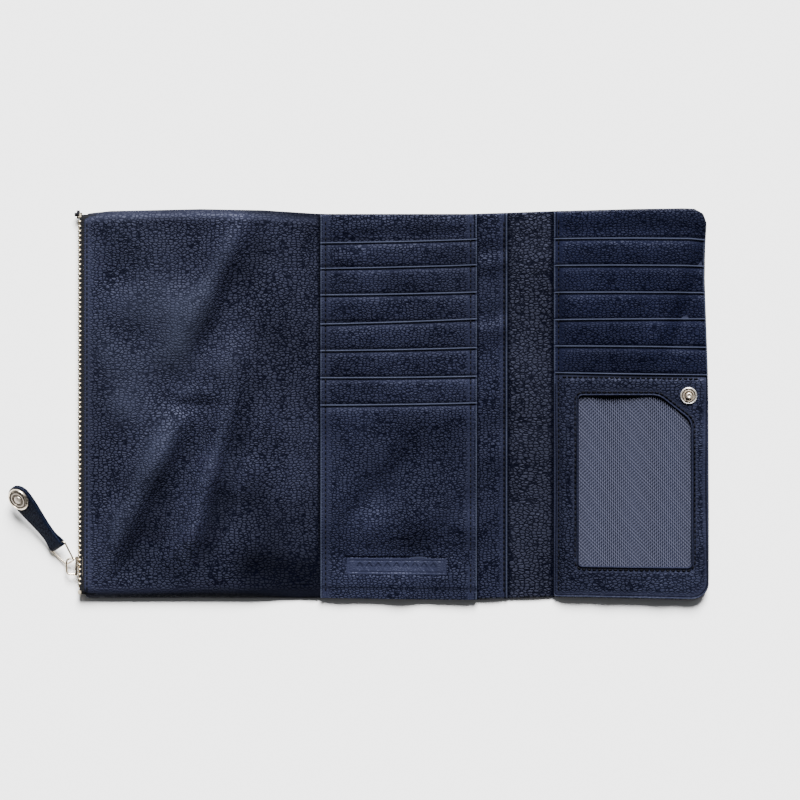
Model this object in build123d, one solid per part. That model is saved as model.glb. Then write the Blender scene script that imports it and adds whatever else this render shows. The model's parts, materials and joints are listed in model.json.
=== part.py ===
from build123d import *
import os
from math import cos, radians, sin, tan

# Travel wallet for passport and cards: three leather panels that fold over each other.
# Frame: X across the open wallet, Y up its height, Z out of the inner faces, in millimetres.
# The origin is the middle of the centre panel's underside. It is drawn lying open and flat.

# Outline
HEIGHT = 237.0
HALF = HEIGHT / 2
FOLD_STRIP_WIDTH = 17.0
SPINE_WIDTH = 25.7
CENTRE_HALF_WIDTH = 65.5
POUCH_HINGE_X = -CENTRE_HALF_WIDTH - FOLD_STRIP_WIDTH
FLAP_HINGE_X = CENTRE_HALF_WIDTH + SPINE_WIDTH
POUCH_EDGE_X = -193.7
FLAP_EDGE_X = 186.0
FLAP_CORNER_RADIUS = 9.0
JOIN_GAP = 0.15
EDGE_INSET = 1.5
LINING_INSET = 0.6

# Layers
LEATHER = 1.2
LINING = 0.4
SHEET_TOP = LEATHER + LINING
STRIP_TOP = 2.4

# Card slots, counted from the top of the panel
SLOT_PITCH = 16.9
SLOT_LEATHER = 0.9
SLOT_LEATHER_LENGTH = 24.6
SLOT_DEPTH = 41.0
TAIL = 0.3
TAIL_DROP = 1.5
TILT = 3.22
RISE = SLOT_LEATHER_LENGTH * tan(radians(TILT))
HEADER_LAP = 8.0
HEADER_CLEARANCE = 0.05
HEADER_FLAT = 1.0
POCKET_SEAM = 4.0

# Centre panel
CENTRE_SLOTS = 6
CENTRE_FIRST_SLOT_Y = 101.3
CARD_PANEL_LEFT = -50.1
CARD_PANEL_RIGHT = 45.4
NOTE_PANEL_RIGHT = 63.4
NOTE_PANEL_TOP = 2.8
CENTRE_BASE_TOP = 3.6
FRONT_POCKET_Y = 0.4
FRONT_POCKET_LEATHER = 1.1

# Flap
FLAP_SLOTS = 5
FLAP_FIRST_SLOT_Y = 101.0
FLAP_PANEL_LEFT = 97.0
FLAP_PANEL_RIGHT = 185.0
FLAP_BASE_TOP = 3.8
FLAP_SLOT_PITCH = 16.45
FRAME_Y = 18.8
FRAME_LEATHER = 1.4
FRAME_LOW = 4.5
FRAME_HIGH = 5.6
WINDOW_LEFT = 107.1
WINDOW_RIGHT = 175.1
WINDOW_TOP = 5.0
WINDOW_BOTTOM = -98.8
WINDOW_CORNER_X = 156.0
WINDOW_CORNER_Y = -10.4
WINDOW_RADIUS = 2.5
MESH = 0.4
MESH_LAP = 3.5

# Snap fastener
SNAP_X = 174.0
SNAP_Y = 5.0
SNAP_SEAT_Z = 6.15
SHANK_RADIUS = 1.3
STUD_RADIUS = 5.25
EYELET_RADIUS = 3.9
STUD_RIM = 1.0
STUD_RIM_FLOOR = 0.5
STUD_RING = 1.4
STUD_RING_RADIUS = 3.65
STUD_POST_RADIUS = 2.0
STUD_TIP_Z = 10.2
STUD_TIP_ROUND = 0.6
SOCKET_RADIUS = 5.6
SOCKET_BORE_RADIUS = 2.25
SOCKET_BODY_RADIUS = 4.4
SOCKET_LOW = 0.2
SOCKET_DEPTH = 2.6
SOCKET_ROOF = 0.4
SOCKET_CAP = 0.6
SOCKET_X = -CENTRE_HALF_WIDTH + POUCH_HINGE_X + SNAP_X - FLAP_HINGE_X - CENTRE_HALF_WIDTH

# Zipped pouch
POUCH_TOP = 8.0
POUCH_WALL = 1.6
POUCH_SHOULDER = 4.5
POUCH_FOLD_X = POUCH_HINGE_X - 7.2
POUCH_FRONT_Z = POUCH_TOP - LEATHER
POUCH_LINING_Z = POUCH_FRONT_Z - LINING

# Zip: its chain runs along Y at the pouch's outer edge and faces -X
ZIP_Z = 4.0
ZIP_END = 113.0
TOOTH_PITCH = 2.9
TOOTH_LENGTH = 1.9
TOOTH_HEIGHT = 1.4
TOOTH_OUT = -197.4
TOOTH_IN = -195.2
ROW_GAP = 1.2
TAPE = 0.4
TAPE_WEB_OUT = -196.5
TAPE_WEB_IN = -195.9
TAPE_SEAM_X = -186.3
TAPE_CLEARANCE = 0.1
TAPE_END_GAP = 0.2
STOP_LENGTH = 2.4
STOP_GAP = 0.4

# Slider, at the open end of its travel
SLIDER_TOP_Y = -92.7
SLIDER_LENGTH = 12.2
SLIDER_FACE = -199.0
SLIDER_PLATE = 1.1
SLIDER_HALF_HEIGHT = 2.1
SLIDER_BACK_OUT = -194.9
SLIDER_BACK_IN = -194.0
SLIDER_BACK_HALF_HEIGHT = 1.9
SLIDER_CORNER = 1.2
SLIDER_POST_HALF = 0.4
SLIDER_POST_START = 0.4
SLIDER_POST_END = 3.4
CROWN_OUT = -205.2
CROWN_THICKNESS = 1.2
CROWN_HALF_WIDTH = 0.8
CROWN_TOP_INSET = 0.8
CROWN_BOTTOM_INSET = 0.6
CROWN_ROUND = 3.0
CROWN_HOLE_INSET = 1.8
CROWN_HOLE_ROUND = 1.4

# Pull: a wire link through the crown, and a doubled leather strap on the link
PIVOT = Vector(-202.3, -96.4, ZIP_Z)
HEADING = Vector(-0.6, 0.8, 0)
SIDEWAYS = Vector(-0.8, -0.6, 0)
UP = Vector(0, 0, 1)
PULL_PITCH = 7.0
PULL_ROLL = 40.0
WIRE_RADIUS = 0.55
LINK_LENGTH = 13.0
LINK_NEAR_HALF = 3.6
LINK_FAR_HALF = 7.1
LINK_BEND = 1.2
STRAP_HALF_THICKNESS = 1.4
STRAP_LOOP_RADIUS = 2.1
STRAP_BORE_RADIUS = 0.75
STRAP_LOOP_HALF = 5.8
STRAP_WAIST_HALF = 4.9
STRAP_WAIST_AT = 9.0
STRAP_FLARE_HALF = 6.1
STRAP_FLARE_AT = 23.0
STRAP_TIP_RADIUS = 8.0
DISC_X = 49.7
DISC_RADIUS = 7.1
DISC_THICKNESS = 2.0
DISC_CHAMFER = 0.6
RIVET_RADIUS = 1.6
RIVET_BACK_RADIUS = 4.0
RIVET_BACK_THICKNESS = 0.7


def slab(x0, x1, y0, y1, z0, z1):
    """A box between two corners."""
    middle = ((x0 + x1) / 2, (y0 + y1) / 2, (z0 + z1) / 2)
    return Pos(*middle) * Box(x1 - x0, y1 - y0, z1 - z0)


def profile(x0, x1, points):
    """A closed outline of (y, z) points, extruded along X."""
    outline = make_face(Polyline(*points, close=True))
    return extrude(Plane.YZ.offset(x0) * outline, amount=x1 - x0)


def disc(x, y, z0, z1, radius):
    """An upright cylinder between two heights."""
    return Pos(x, y, (z0 + z1) / 2) * Cylinder(radius, z1 - z0)


def rounded_flap(x0, x1, y_half, z0, z1, radius):
    """A slab whose two corners on the +X side are round."""
    block = slab(x0, x1, -y_half, y_half, z0, z1)
    corners = block.edges().filter_by(Axis.Z).group_by(Axis.X)[-1]
    return fillet(corners, radius)


def card_slot(x0, x1, top_y, base_z):
    """A slot's leather facing, its top edge free, with the thin pocket lining below it."""
    low = base_z + TAIL
    high = low + RISE
    foot_y = top_y - SLOT_LEATHER_LENGTH
    lining_y = foot_y - TAIL_DROP
    end_y = top_y - SLOT_DEPTH
    return profile(
        x0,
        x1,
        [
            (top_y, high),
            (top_y, high + SLOT_LEATHER),
            (foot_y, low + SLOT_LEATHER),
            (foot_y, low + TAIL),
            (lining_y, base_z + TAIL),
            (end_y, base_z + TAIL),
            (end_y, base_z),
            (lining_y, base_z),
            (foot_y, low),
        ],
    )


def slot_header(x0, x1, first_y, base_z):
    """The padded band above the first slot, which holds that slot's edge up."""
    high = base_z + TAIL + RISE - HEADER_CLEARANCE
    under_y = first_y - HEADER_LAP
    under_z = high - HEADER_LAP * tan(radians(TILT))
    return profile(
        x0,
        x1,
        [
            (HALF - EDGE_INSET, base_z),
            (HALF - EDGE_INSET, base_z + SLOT_LEATHER),
            (first_y + HEADER_FLAT, high),
            (first_y, high),
            (under_y, under_z),
            (under_y, base_z),
        ],
    )


def centre_panel():
    """The middle panel: back, lining, note pocket, six card slots and the big pocket."""
    left = CARD_PANEL_LEFT
    right = CARD_PANEL_RIGHT
    inner = HALF - EDGE_INSET
    back_half = CENTRE_HALF_WIDTH - JOIN_GAP
    lining_half = CENTRE_HALF_WIDTH - LINING_INSET
    nodes = {
        "centre_back": slab(-back_half, back_half, -HALF, HALF, 0, LEATHER),
        "centre_lining": slab(-lining_half, lining_half, -inner, inner, LEATHER, SHEET_TOP),
        "note_pocket_panel": slab(left, NOTE_PANEL_RIGHT, -inner, inner, SHEET_TOP, NOTE_PANEL_TOP),
        "centre_card_base": slab(left, right, -inner, inner, NOTE_PANEL_TOP, CENTRE_BASE_TOP),
        "centre_slot_header": slot_header(left, right, CENTRE_FIRST_SLOT_Y, CENTRE_BASE_TOP),
    }
    for number in range(CENTRE_SLOTS):
        top_y = CENTRE_FIRST_SLOT_Y - number * SLOT_PITCH
        slot = card_slot(left, right, top_y, CENTRE_BASE_TOP)
        nodes[f"centre_slot_{number + 1}"] = slot
    low = CENTRE_BASE_TOP + TAIL
    high = low + RISE
    foot_y = FRONT_POCKET_Y - SLOT_LEATHER_LENGTH
    seam_y = -inner + POCKET_SEAM
    nodes["centre_front_pocket"] = profile(
        left,
        right,
        [
            (FRONT_POCKET_Y, high),
            (FRONT_POCKET_Y, high + FRONT_POCKET_LEATHER),
            (foot_y, low + FRONT_POCKET_LEATHER),
            (-inner, low + FRONT_POCKET_LEATHER),
            (-inner, CENTRE_BASE_TOP),
            (seam_y, CENTRE_BASE_TOP),
            (seam_y, low),
            (foot_y, low),
        ],
    )
    return nodes


def fold_strip():
    """The narrow strip that the pouch folds over on."""
    left = POUCH_HINGE_X + JOIN_GAP
    right = -CENTRE_HALF_WIDTH - JOIN_GAP
    recess = STRIP_TOP - LEATHER
    front = slab(left + recess, right - recess, -HALF, HALF, LEATHER, STRIP_TOP)
    return {
        "fold_back": slab(left, right, -HALF, HALF, 0, LEATHER),
        "fold_front": front,
    }


def spine():
    """The strip between the centre panel and the flap."""
    left = CENTRE_HALF_WIDTH + JOIN_GAP
    right = FLAP_HINGE_X - JOIN_GAP
    recess = STRIP_TOP - LEATHER
    lining = slab(left + recess, right - recess, -HALF, HALF, LEATHER, STRIP_TOP)
    return {
        "spine_back": slab(left, right, -HALF, HALF, 0, LEATHER),
        "spine_lining": lining,
    }


def window_outline(grow):
    """The window's shape: an upright oblong with its corner by the snap cut off."""
    points = [
        (WINDOW_LEFT - grow, WINDOW_BOTTOM - grow),
        (WINDOW_RIGHT + grow, WINDOW_BOTTOM - grow),
        (WINDOW_RIGHT + grow, WINDOW_CORNER_Y + grow / 2),
        (WINDOW_CORNER_X + grow / 2, WINDOW_TOP + grow),
        (WINDOW_LEFT - grow, WINDOW_TOP + grow),
    ]
    outline = make_face(Polyline(*points, close=True))
    return fillet(outline.vertices(), WINDOW_RADIUS)


def flap():
    """The right-hand flap: card slots above, a mesh identity window below, and the snap's stud."""
    left = FLAP_PANEL_LEFT
    right = FLAP_PANEL_RIGHT
    inner = HALF - EDGE_INSET
    hinge = FLAP_HINGE_X + JOIN_GAP
    corner = FLAP_CORNER_RADIUS
    base = rounded_flap(left, right, inner, SHEET_TOP, FLAP_BASE_TOP, corner)
    lining_start = FLAP_HINGE_X + LINING_INSET
    lining = rounded_flap(lining_start, right, inner, LEATHER, SHEET_TOP, corner)
    header = slot_header(left, right, FLAP_FIRST_SLOT_Y, FLAP_BASE_TOP)
    header_corner = header.edges().filter_by(Axis.Z).group_by(Axis.Y)[-1].sort_by(Axis.X)[-1]
    nodes = {
        "flap_back": rounded_flap(hinge, FLAP_EDGE_X, HALF, 0, LEATHER, corner),
        "flap_lining": lining,
        "flap_card_base": base,
        "flap_slot_header": fillet(header_corner, corner),
    }
    for number in range(FLAP_SLOTS):
        top_y = FLAP_FIRST_SLOT_Y - number * FLAP_SLOT_PITCH
        slot = card_slot(left, right, top_y, FLAP_BASE_TOP)
        nodes[f"flap_slot_{number + 1}"] = slot
    foot_y = FRAME_Y - SLOT_LEATHER_LENGTH
    seam_y = -inner + POCKET_SEAM
    frame = profile(
        left,
        right,
        [
            (FRAME_Y, FRAME_HIGH),
            (FRAME_Y, FRAME_HIGH + FRAME_LEATHER),
            (foot_y, FRAME_LOW + FRAME_LEATHER),
            (-inner, FRAME_LOW + FRAME_LEATHER),
            (-inner, FLAP_BASE_TOP),
            (seam_y, FLAP_BASE_TOP),
            (seam_y, FRAME_LOW),
            (foot_y, FRAME_LOW),
        ],
    )
    frame_corner = frame.edges().filter_by(Axis.Z).group_by(Axis.Y)[0].sort_by(Axis.X)[-1]
    frame = fillet(frame_corner, corner)
    frame -= extrude(window_outline(0), amount=POUCH_TOP)
    frame -= disc(SNAP_X, SNAP_Y, FLAP_BASE_TOP, POUCH_TOP, SHANK_RADIUS)
    frame -= disc(SNAP_X, SNAP_Y, SNAP_SEAT_Z, POUCH_TOP, STUD_RADIUS)
    nodes["id_window_frame"] = frame
    mesh = extrude(window_outline(MESH_LAP), amount=MESH)
    nodes["id_window_mesh"] = Pos(0, 0, FRAME_LOW - MESH) * mesh
    return nodes


def snap():
    """The snap: its stud on the flap, and its socket let into the pouch's back."""
    seat = SNAP_SEAT_Z
    rim = seat + STUD_RIM
    stud = disc(SNAP_X, SNAP_Y, seat, rim, STUD_RADIUS)
    stud -= disc(SNAP_X, SNAP_Y, seat + STUD_RIM_FLOOR, rim, STUD_RADIUS - STUD_RIM)
    stud += disc(SNAP_X, SNAP_Y, seat, seat + STUD_RING, STUD_RING_RADIUS)
    stud += disc(SNAP_X, SNAP_Y, seat, STUD_TIP_Z, STUD_POST_RADIUS)
    tip = stud.edges().filter_by(GeomType.CIRCLE).sort_by(Axis.Z)[-1]
    stud = fillet(tip, STUD_TIP_ROUND)
    eyelet = disc(SNAP_X, SNAP_Y, FRAME_LOW - MESH, FRAME_LOW, EYELET_RADIUS)
    eyelet += disc(SNAP_X, SNAP_Y, FRAME_LOW, seat, SHANK_RADIUS)
    socket = disc(SOCKET_X, SNAP_Y, SOCKET_LOW, SOCKET_DEPTH, SOCKET_BODY_RADIUS)
    socket -= disc(SOCKET_X, SNAP_Y, 0, SOCKET_DEPTH - SOCKET_ROOF, SOCKET_BORE_RADIUS)
    cap = disc(SOCKET_X, SNAP_Y, SOCKET_DEPTH, SOCKET_DEPTH + SOCKET_CAP, SOCKET_RADIUS)
    return {
        "snap_stud": stud,
        "snap_stud_eyelet": eyelet,
        "snap_socket": socket,
        "snap_socket_cap": cap,
    }


def pouch():
    """The zipped pouch: a back, a front shell closed on three sides, and a lining in each."""
    right = POUCH_HINGE_X - JOIN_GAP
    inner = HALF - POUCH_WALL
    hole = disc(SOCKET_X, SNAP_Y, -LEATHER, POUCH_TOP / 2, SOCKET_BODY_RADIUS)
    cap_room = disc(SOCKET_X, SNAP_Y, LEATHER, POUCH_TOP / 2, SOCKET_RADIUS)
    back = slab(POUCH_EDGE_X, right, -HALF, HALF, 0, LEATHER) - hole
    lining_left = TAPE_SEAM_X + TAPE_CLEARANCE
    lining_right = POUCH_FOLD_X - POUCH_SHOULDER - POUCH_WALL
    back_lining = slab(lining_left, lining_right, -inner, inner, LEATHER, SHEET_TOP)
    front = slab(POUCH_EDGE_X, POUCH_FOLD_X, -HALF, HALF, LEATHER, POUCH_TOP)
    shoulder = front.edges().filter_by(Axis.Y).group_by(Axis.Z)[-1].sort_by(Axis.X)[-1]
    front = chamfer(shoulder, POUCH_SHOULDER)
    front -= slab(POUCH_EDGE_X - POUCH_WALL, lining_right, -inner, inner, LEATHER, POUCH_FRONT_Z)
    front_lining = slab(lining_left, lining_right, -inner, inner, POUCH_LINING_Z, POUCH_FRONT_Z)
    return {
        "pouch_back": back,
        "pouch_back_lining": back_lining - cap_room,
        "pouch_front": front,
        "pouch_front_lining": front_lining,
    }


def zip_chain():
    """Both halves of the zip: tape, a row of teeth on its edge, and the stops."""
    half_gap = ROW_GAP / 2
    tape_half = HALF - POUCH_WALL - TAPE_END_GAP
    nodes = {}
    for name, side in (("lower", -1), ("upper", 1)):
        tooth_z = ZIP_Z + side * (half_gap + TOOTH_HEIGHT / 2)
        tooth = Box(TOOTH_IN - TOOTH_OUT, TOOTH_LENGTH, TOOTH_HEIGHT)
        count = int(2 * ZIP_END / TOOTH_PITCH)
        start = -TOOTH_PITCH * (count - 1) / 2
        middle_x = (TOOTH_OUT + TOOTH_IN) / 2
        row = [Pos(middle_x, start + n * TOOTH_PITCH, tooth_z) * tooth for n in range(count)]
        nodes[f"zip_teeth_{name}"] = Compound(children=row)
        seam_low = LEATHER if side < 0 else POUCH_FRONT_Z - TAPE
        seam_high = seam_low + TAPE
        teeth_edge = ZIP_Z + side * (half_gap + TOOTH_HEIGHT)
        web_low = min(teeth_edge, seam_low)
        web_high = max(teeth_edge, seam_high)
        web = slab(TAPE_WEB_OUT, TAPE_WEB_IN, -tape_half, tape_half, web_low, web_high)
        seam = slab(TAPE_WEB_OUT, TAPE_SEAM_X, -tape_half, tape_half, seam_low, seam_high)
        nodes[f"zip_tape_{name}"] = web + seam
    outer = half_gap + TOOTH_HEIGHT
    stop_start = ZIP_END + STOP_GAP
    stop_end = stop_start + STOP_LENGTH
    lower_stop = slab(TOOTH_OUT, TOOTH_IN, stop_start, stop_end, ZIP_Z - outer, ZIP_Z - half_gap)
    upper_stop = slab(TOOTH_OUT, TOOTH_IN, stop_start, stop_end, ZIP_Z + half_gap, ZIP_Z + outer)
    nodes["zip_top_stops"] = Compound(children=[lower_stop, upper_stop])
    box = slab(TOOTH_OUT, TOOTH_IN, -stop_end, -stop_start, ZIP_Z - outer, ZIP_Z + outer)
    nodes["zip_bottom_stop"] = box
    return nodes


def slider():
    """The zip's slider: a plate each side of the teeth, the post between, and the crown."""
    top = SLIDER_TOP_Y
    bottom = top - SLIDER_LENGTH
    low = ZIP_Z - SLIDER_HALF_HEIGHT
    high = ZIP_Z + SLIDER_HALF_HEIGHT
    front_in = SLIDER_FACE + SLIDER_PLATE
    front = slab(SLIDER_FACE, front_in, bottom, top, low, high)
    front = chamfer(front.edges().filter_by(Axis.X).group_by(Axis.Y)[0], SLIDER_CORNER)
    back_low = ZIP_Z - SLIDER_BACK_HALF_HEIGHT
    back_high = ZIP_Z + SLIDER_BACK_HALF_HEIGHT
    back = slab(SLIDER_BACK_OUT, SLIDER_BACK_IN, bottom, top, back_low, back_high)
    post_low = ZIP_Z - SLIDER_POST_HALF
    post_high = ZIP_Z + SLIDER_POST_HALF
    post_end = top - SLIDER_POST_END
    post_start = top - SLIDER_POST_START
    post = slab(front_in, SLIDER_BACK_OUT, post_end, post_start, post_low, post_high)
    crown_low = ZIP_Z - CROWN_HALF_WIDTH
    crown_high = ZIP_Z + CROWN_HALF_WIDTH
    crown_bottom = bottom + CROWN_BOTTOM_INSET
    crown_top = top - CROWN_TOP_INSET
    crown = slab(CROWN_OUT, SLIDER_FACE, crown_bottom, crown_top, crown_low, crown_high)
    crown = fillet(crown.edges().filter_by(Axis.Z).group_by(Axis.X)[0], CROWN_ROUND)
    hole_out = CROWN_OUT + CROWN_THICKNESS
    hole_bottom = bottom + CROWN_HOLE_INSET
    hole_top = top - CROWN_HOLE_INSET
    hole = slab(hole_out, SLIDER_FACE, hole_bottom, hole_top, crown_low, crown_high)
    hole = fillet(hole.edges().filter_by(Axis.Z).group_by(Axis.X)[0], CROWN_HOLE_ROUND)
    return {"slider_body": front + back + post, "slider_crown": crown - hole}


def pull_plane():
    """The pull's own plane: X along the strap, Z out of the face that carries the disc."""
    along = HEADING * cos(radians(PULL_PITCH)) + UP * sin(radians(PULL_PITCH))
    lift = UP * cos(radians(PULL_PITCH)) - HEADING * sin(radians(PULL_PITCH))
    face = lift * cos(radians(PULL_ROLL)) + SIDEWAYS * sin(radians(PULL_ROLL))
    return Plane(origin=PIVOT, x_dir=along, z_dir=face)


def pull():
    """The wire link, and the leather strap with its rivet."""
    corners = [
        (0, LINK_NEAR_HALF),
        (0, -LINK_NEAR_HALF),
        (LINK_LENGTH, -LINK_FAR_HALF),
        (LINK_LENGTH, LINK_FAR_HALF),
    ]
    loop = make_face(Polyline(*corners, close=True))
    wire = fillet(loop.vertices(), LINK_BEND).face().outer_wire()
    section = Plane(origin=wire @ 0, z_dir=wire % 0) * Circle(WIRE_RADIUS)
    link = sweep(section, path=wire, transition=Transition.ROUND)
    side = Spline(
        (LINK_LENGTH, STRAP_LOOP_HALF),
        (LINK_LENGTH + STRAP_WAIST_AT, STRAP_WAIST_HALF),
        (LINK_LENGTH + STRAP_FLARE_AT, STRAP_FLARE_HALF),
        (DISC_X, STRAP_TIP_RADIUS),
        tangents=((1, 0), (1, 0)),
    )
    tip = ThreePointArc(
        (DISC_X, STRAP_TIP_RADIUS),
        (DISC_X + STRAP_TIP_RADIUS, 0),
        (DISC_X, -STRAP_TIP_RADIUS),
    )
    heel = Line((LINK_LENGTH, -STRAP_LOOP_HALF), (LINK_LENGTH, STRAP_LOOP_HALF))
    outline = make_face([side, tip, mirror(side, Plane.XZ), heel])
    strap = extrude(outline, amount=STRAP_HALF_THICKNESS, both=True)
    bar = Pos(LINK_LENGTH, 0, 0) * Rot(90, 0, 0)
    strap += bar * Cylinder(STRAP_LOOP_RADIUS, 2 * STRAP_LOOP_HALF)
    strap -= bar * Cylinder(STRAP_BORE_RADIUS, 4 * STRAP_LOOP_HALF)
    face = STRAP_HALF_THICKNESS
    strap -= disc(DISC_X, 0, -face, face, RIVET_RADIUS)
    cap = disc(DISC_X, 0, face, face + DISC_THICKNESS, DISC_RADIUS)
    rim = cap.edges().filter_by(GeomType.CIRCLE).sort_by(Axis.Z)[-1]
    cap = chamfer(rim, DISC_CHAMFER)
    post = disc(DISC_X, 0, -face, face, RIVET_RADIUS)
    post += disc(DISC_X, 0, -face - RIVET_BACK_THICKNESS, -face, RIVET_BACK_RADIUS)
    plane = pull_plane()
    return {
        "pull_link": plane * link,
        "pull_strap": plane * strap,
        "pull_rivet_cap": plane * cap,
        "pull_rivet_post": plane * post,
    }


os.makedirs("parts", exist_ok=True)
for group in (centre_panel, fold_strip, spine, flap, snap, pouch, zip_chain, slider, pull):
    for name, shape in group().items():
        export_step(shape, f"parts/{name}.step")
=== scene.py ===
import json
import math

import bmesh
import bpy
import numpy as np
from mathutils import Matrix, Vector


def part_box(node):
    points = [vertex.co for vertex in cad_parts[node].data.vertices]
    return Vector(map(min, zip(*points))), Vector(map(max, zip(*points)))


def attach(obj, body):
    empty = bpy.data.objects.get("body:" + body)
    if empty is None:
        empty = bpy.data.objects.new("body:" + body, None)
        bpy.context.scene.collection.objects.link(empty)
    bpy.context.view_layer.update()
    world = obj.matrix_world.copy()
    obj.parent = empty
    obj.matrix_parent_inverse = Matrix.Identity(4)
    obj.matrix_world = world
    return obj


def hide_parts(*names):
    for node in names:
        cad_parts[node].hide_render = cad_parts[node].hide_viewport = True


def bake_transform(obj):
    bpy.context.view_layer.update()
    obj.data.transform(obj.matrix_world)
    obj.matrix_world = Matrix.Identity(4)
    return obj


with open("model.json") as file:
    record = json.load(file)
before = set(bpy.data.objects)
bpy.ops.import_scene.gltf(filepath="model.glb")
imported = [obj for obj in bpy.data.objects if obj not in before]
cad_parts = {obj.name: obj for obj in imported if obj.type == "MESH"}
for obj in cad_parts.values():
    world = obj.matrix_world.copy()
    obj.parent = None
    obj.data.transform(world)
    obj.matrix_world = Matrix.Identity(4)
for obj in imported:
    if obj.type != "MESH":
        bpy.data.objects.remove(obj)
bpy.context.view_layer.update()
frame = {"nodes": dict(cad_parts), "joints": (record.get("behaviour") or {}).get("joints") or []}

# Lengths are in millimetres up to the point where a mesh is made, which is in metres.
MM = 0.001


# --- Places and sizes, all read from the frame ---------------------------------------------

def node_box(name):
    """A CAD node's lowest and highest corners, in millimetres."""
    low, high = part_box(name)
    return np.array(low) / MM, np.array(high) / MM


JOINTS = {joint["name"]: joint for joint in frame["joints"]}
FOLD_A = JOINTS["pouch_fold"]["pos_m"][0] / MM
FOLD_B = JOINTS["pouch_turn"]["pos_m"][0] / MM
SPINE_C = JOINTS["flap_fold"]["pos_m"][0] / MM
SPINE_D = JOINTS["flap_turn"]["pos_m"][0] / MM
STRIP_MIDDLE = (FOLD_A + FOLD_B) / 2
SPINE_MIDDLE = (SPINE_C + SPINE_D) / 2
BACK_LOW, BACK_HIGH = node_box("centre_back")
HALF = BACK_HIGH[1]
LEATHER = BACK_HIGH[2] - BACK_LOW[2]
POUCH_LOW, POUCH_HIGH = node_box("pouch_front")
POUCH_EDGE = POUCH_LOW[0]
CARD_LOW, CARD_HIGH = node_box("centre_card_base")
NOTE_LOW, NOTE_HIGH = node_box("note_pocket_panel")
FLAP_EDGE = node_box("flap_back")[1][0]
FLAP_BASE_TOP = node_box("flap_card_base")[1][2]
FLAP_LEFT = SPINE_D + 0.9
FLAP_RIGHT = node_box("flap_card_base")[1][0] + 0.3
FRAME_LOW_Z = node_box("id_window_mesh")[1][2]
FRAME_TOP = node_box("id_window_frame")[1]
SNAP_LOW, SNAP_HIGH = node_box("snap_stud")
SNAP = (SNAP_LOW + SNAP_HIGH) / 2
SOCKET_LOW, SOCKET_HIGH = node_box("snap_socket")
SOCKET = (SOCKET_LOW + SOCKET_HIGH) / 2
CENTRE_SLOT_TOPS = [node_box(f"centre_slot_{n}")[1] for n in range(1, 7)]
FLAP_SLOT_TOPS = [node_box(f"flap_slot_{n}")[1] for n in range(1, 6)]
POCKET_TOP = node_box("centre_front_pocket")[1]


# --- Small numeric helpers -----------------------------------------------------------------

def ease(low, high, value):
    """0 below low, 1 above high, and a smooth climb between."""
    t = np.clip((value - low) / (high - low), 0.0, 1.0)
    return t * t * (3 - 2 * t)


def hump(value, place, reach):
    """1 at a place, fading to 0 a little past reach on both sides of it."""
    return np.exp(-(((value - place) / reach) ** 2))


def waves(x, y, seed, shortest, longest, height):
    """A gentle uneven surface: a sum of sine waves in seeded directions."""
    random = np.random.default_rng(seed)
    total = np.zeros_like(np.asarray(x, float))
    count = 9
    for _ in range(count):
        length = random.uniform(shortest, longest)
        turn = random.uniform(0, 2 * math.pi)
        phase = random.uniform(0, 2 * math.pi)
        along = x * math.cos(turn) + y * math.sin(turn)
        total = total + np.sin(along * 2 * math.pi / length + phase)
    return total * height / math.sqrt(count)


def folds(x, y, items):
    """Soft folds in leather. Each runs from one point to another, with a crest on its left
    side and a hollow on its right: (x0, y0, x1, y1, width, height)."""
    total = np.zeros_like(np.asarray(x, float))
    for x0, y0, x1, y1, width, height in items:
        run = math.hypot(x1 - x0, y1 - y0)
        ux = (x1 - x0) / run
        uy = (y1 - y0) / run
        along = ((x - x0) * ux + (y - y0) * uy) / run
        across = (x - x0) * uy - (y - y0) * ux
        fade = ease(-0.2, 0.2, along) * ease(-1.2, -0.8, -along)
        shape = -across / width * np.exp(0.5 - across**2 / (2 * width**2))
        total = total + height * fade * shape
    return total


TOP_EDGE = ((-198, -3.6), (-190, -2.2), (-178, -0.9), (-123, 0.3), (-85, -0.4), (-50, -2.6),
            (41, -2.6), (66, -1.8), (91, -0.9), (140, 0.4), (175, 0.9), (187, -0.2))
BOTTOM_EDGE = ((-198, 1.6), (-190, 0.4), (-120, 0.5), (-50, 0.1), (-10, -0.4), (41, -1.0),
               (66, -0.2), (91, 0.7), (120, 0.2), (175, -0.9), (187, 0.3))
RIGHT_EDGE = ((-118, 0.9), (-60, 0.9), (0, 0.6), (20, 0.3), (75, -1.6), (95, -1.4), (118, 0.0))


def warp(x, y):
    """Moves points near the wallet's outline, so its edges run a little unevenly."""
    top = np.interp(x, *zip(*TOP_EDGE)) * ease(0.6 * HALF, HALF, y)
    bottom = np.interp(x, *zip(*BOTTOM_EDGE)) * ease(0.6 * HALF, HALF, -y)
    right = np.interp(y, *zip(*RIGHT_EDGE)) * ease(FLAP_EDGE - 35, FLAP_EDGE, x)
    return x + right, y + top + bottom


# --- Mesh builders -------------------------------------------------------------------------

def make_object(name, points, faces, material, floats=None):
    """A mesh object from points in millimetres. floats holds values for the points by name."""
    mesh = bpy.data.meshes.new(name)
    mesh.from_pydata((np.asarray(points, float) * MM).tolist(), [], faces)
    for key, values in (floats or {}).items():
        layer = mesh.attributes.new(key, "FLOAT", "POINT")
        layer.data.foreach_set("value", np.asarray(values, np.float32).ravel())
    mesh.update()
    return placed_object(name, mesh, material)


def placed_object(name, mesh, material):
    """An object in the scene for a mesh, smooth-shaded and with one material."""
    mesh.shade_smooth()
    mesh.materials.append(material)
    obj = bpy.data.objects.new(name, mesh)
    bpy.context.scene.collection.objects.link(obj)
    return obj


def face_outwards(obj):
    """Turns every face of a closed mesh to point out of it."""
    work = bmesh.new()
    work.from_mesh(obj.data)
    bmesh.ops.recalc_face_normals(work, faces=work.faces)
    work.to_mesh(obj.data)
    work.free()
    return obj


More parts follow.
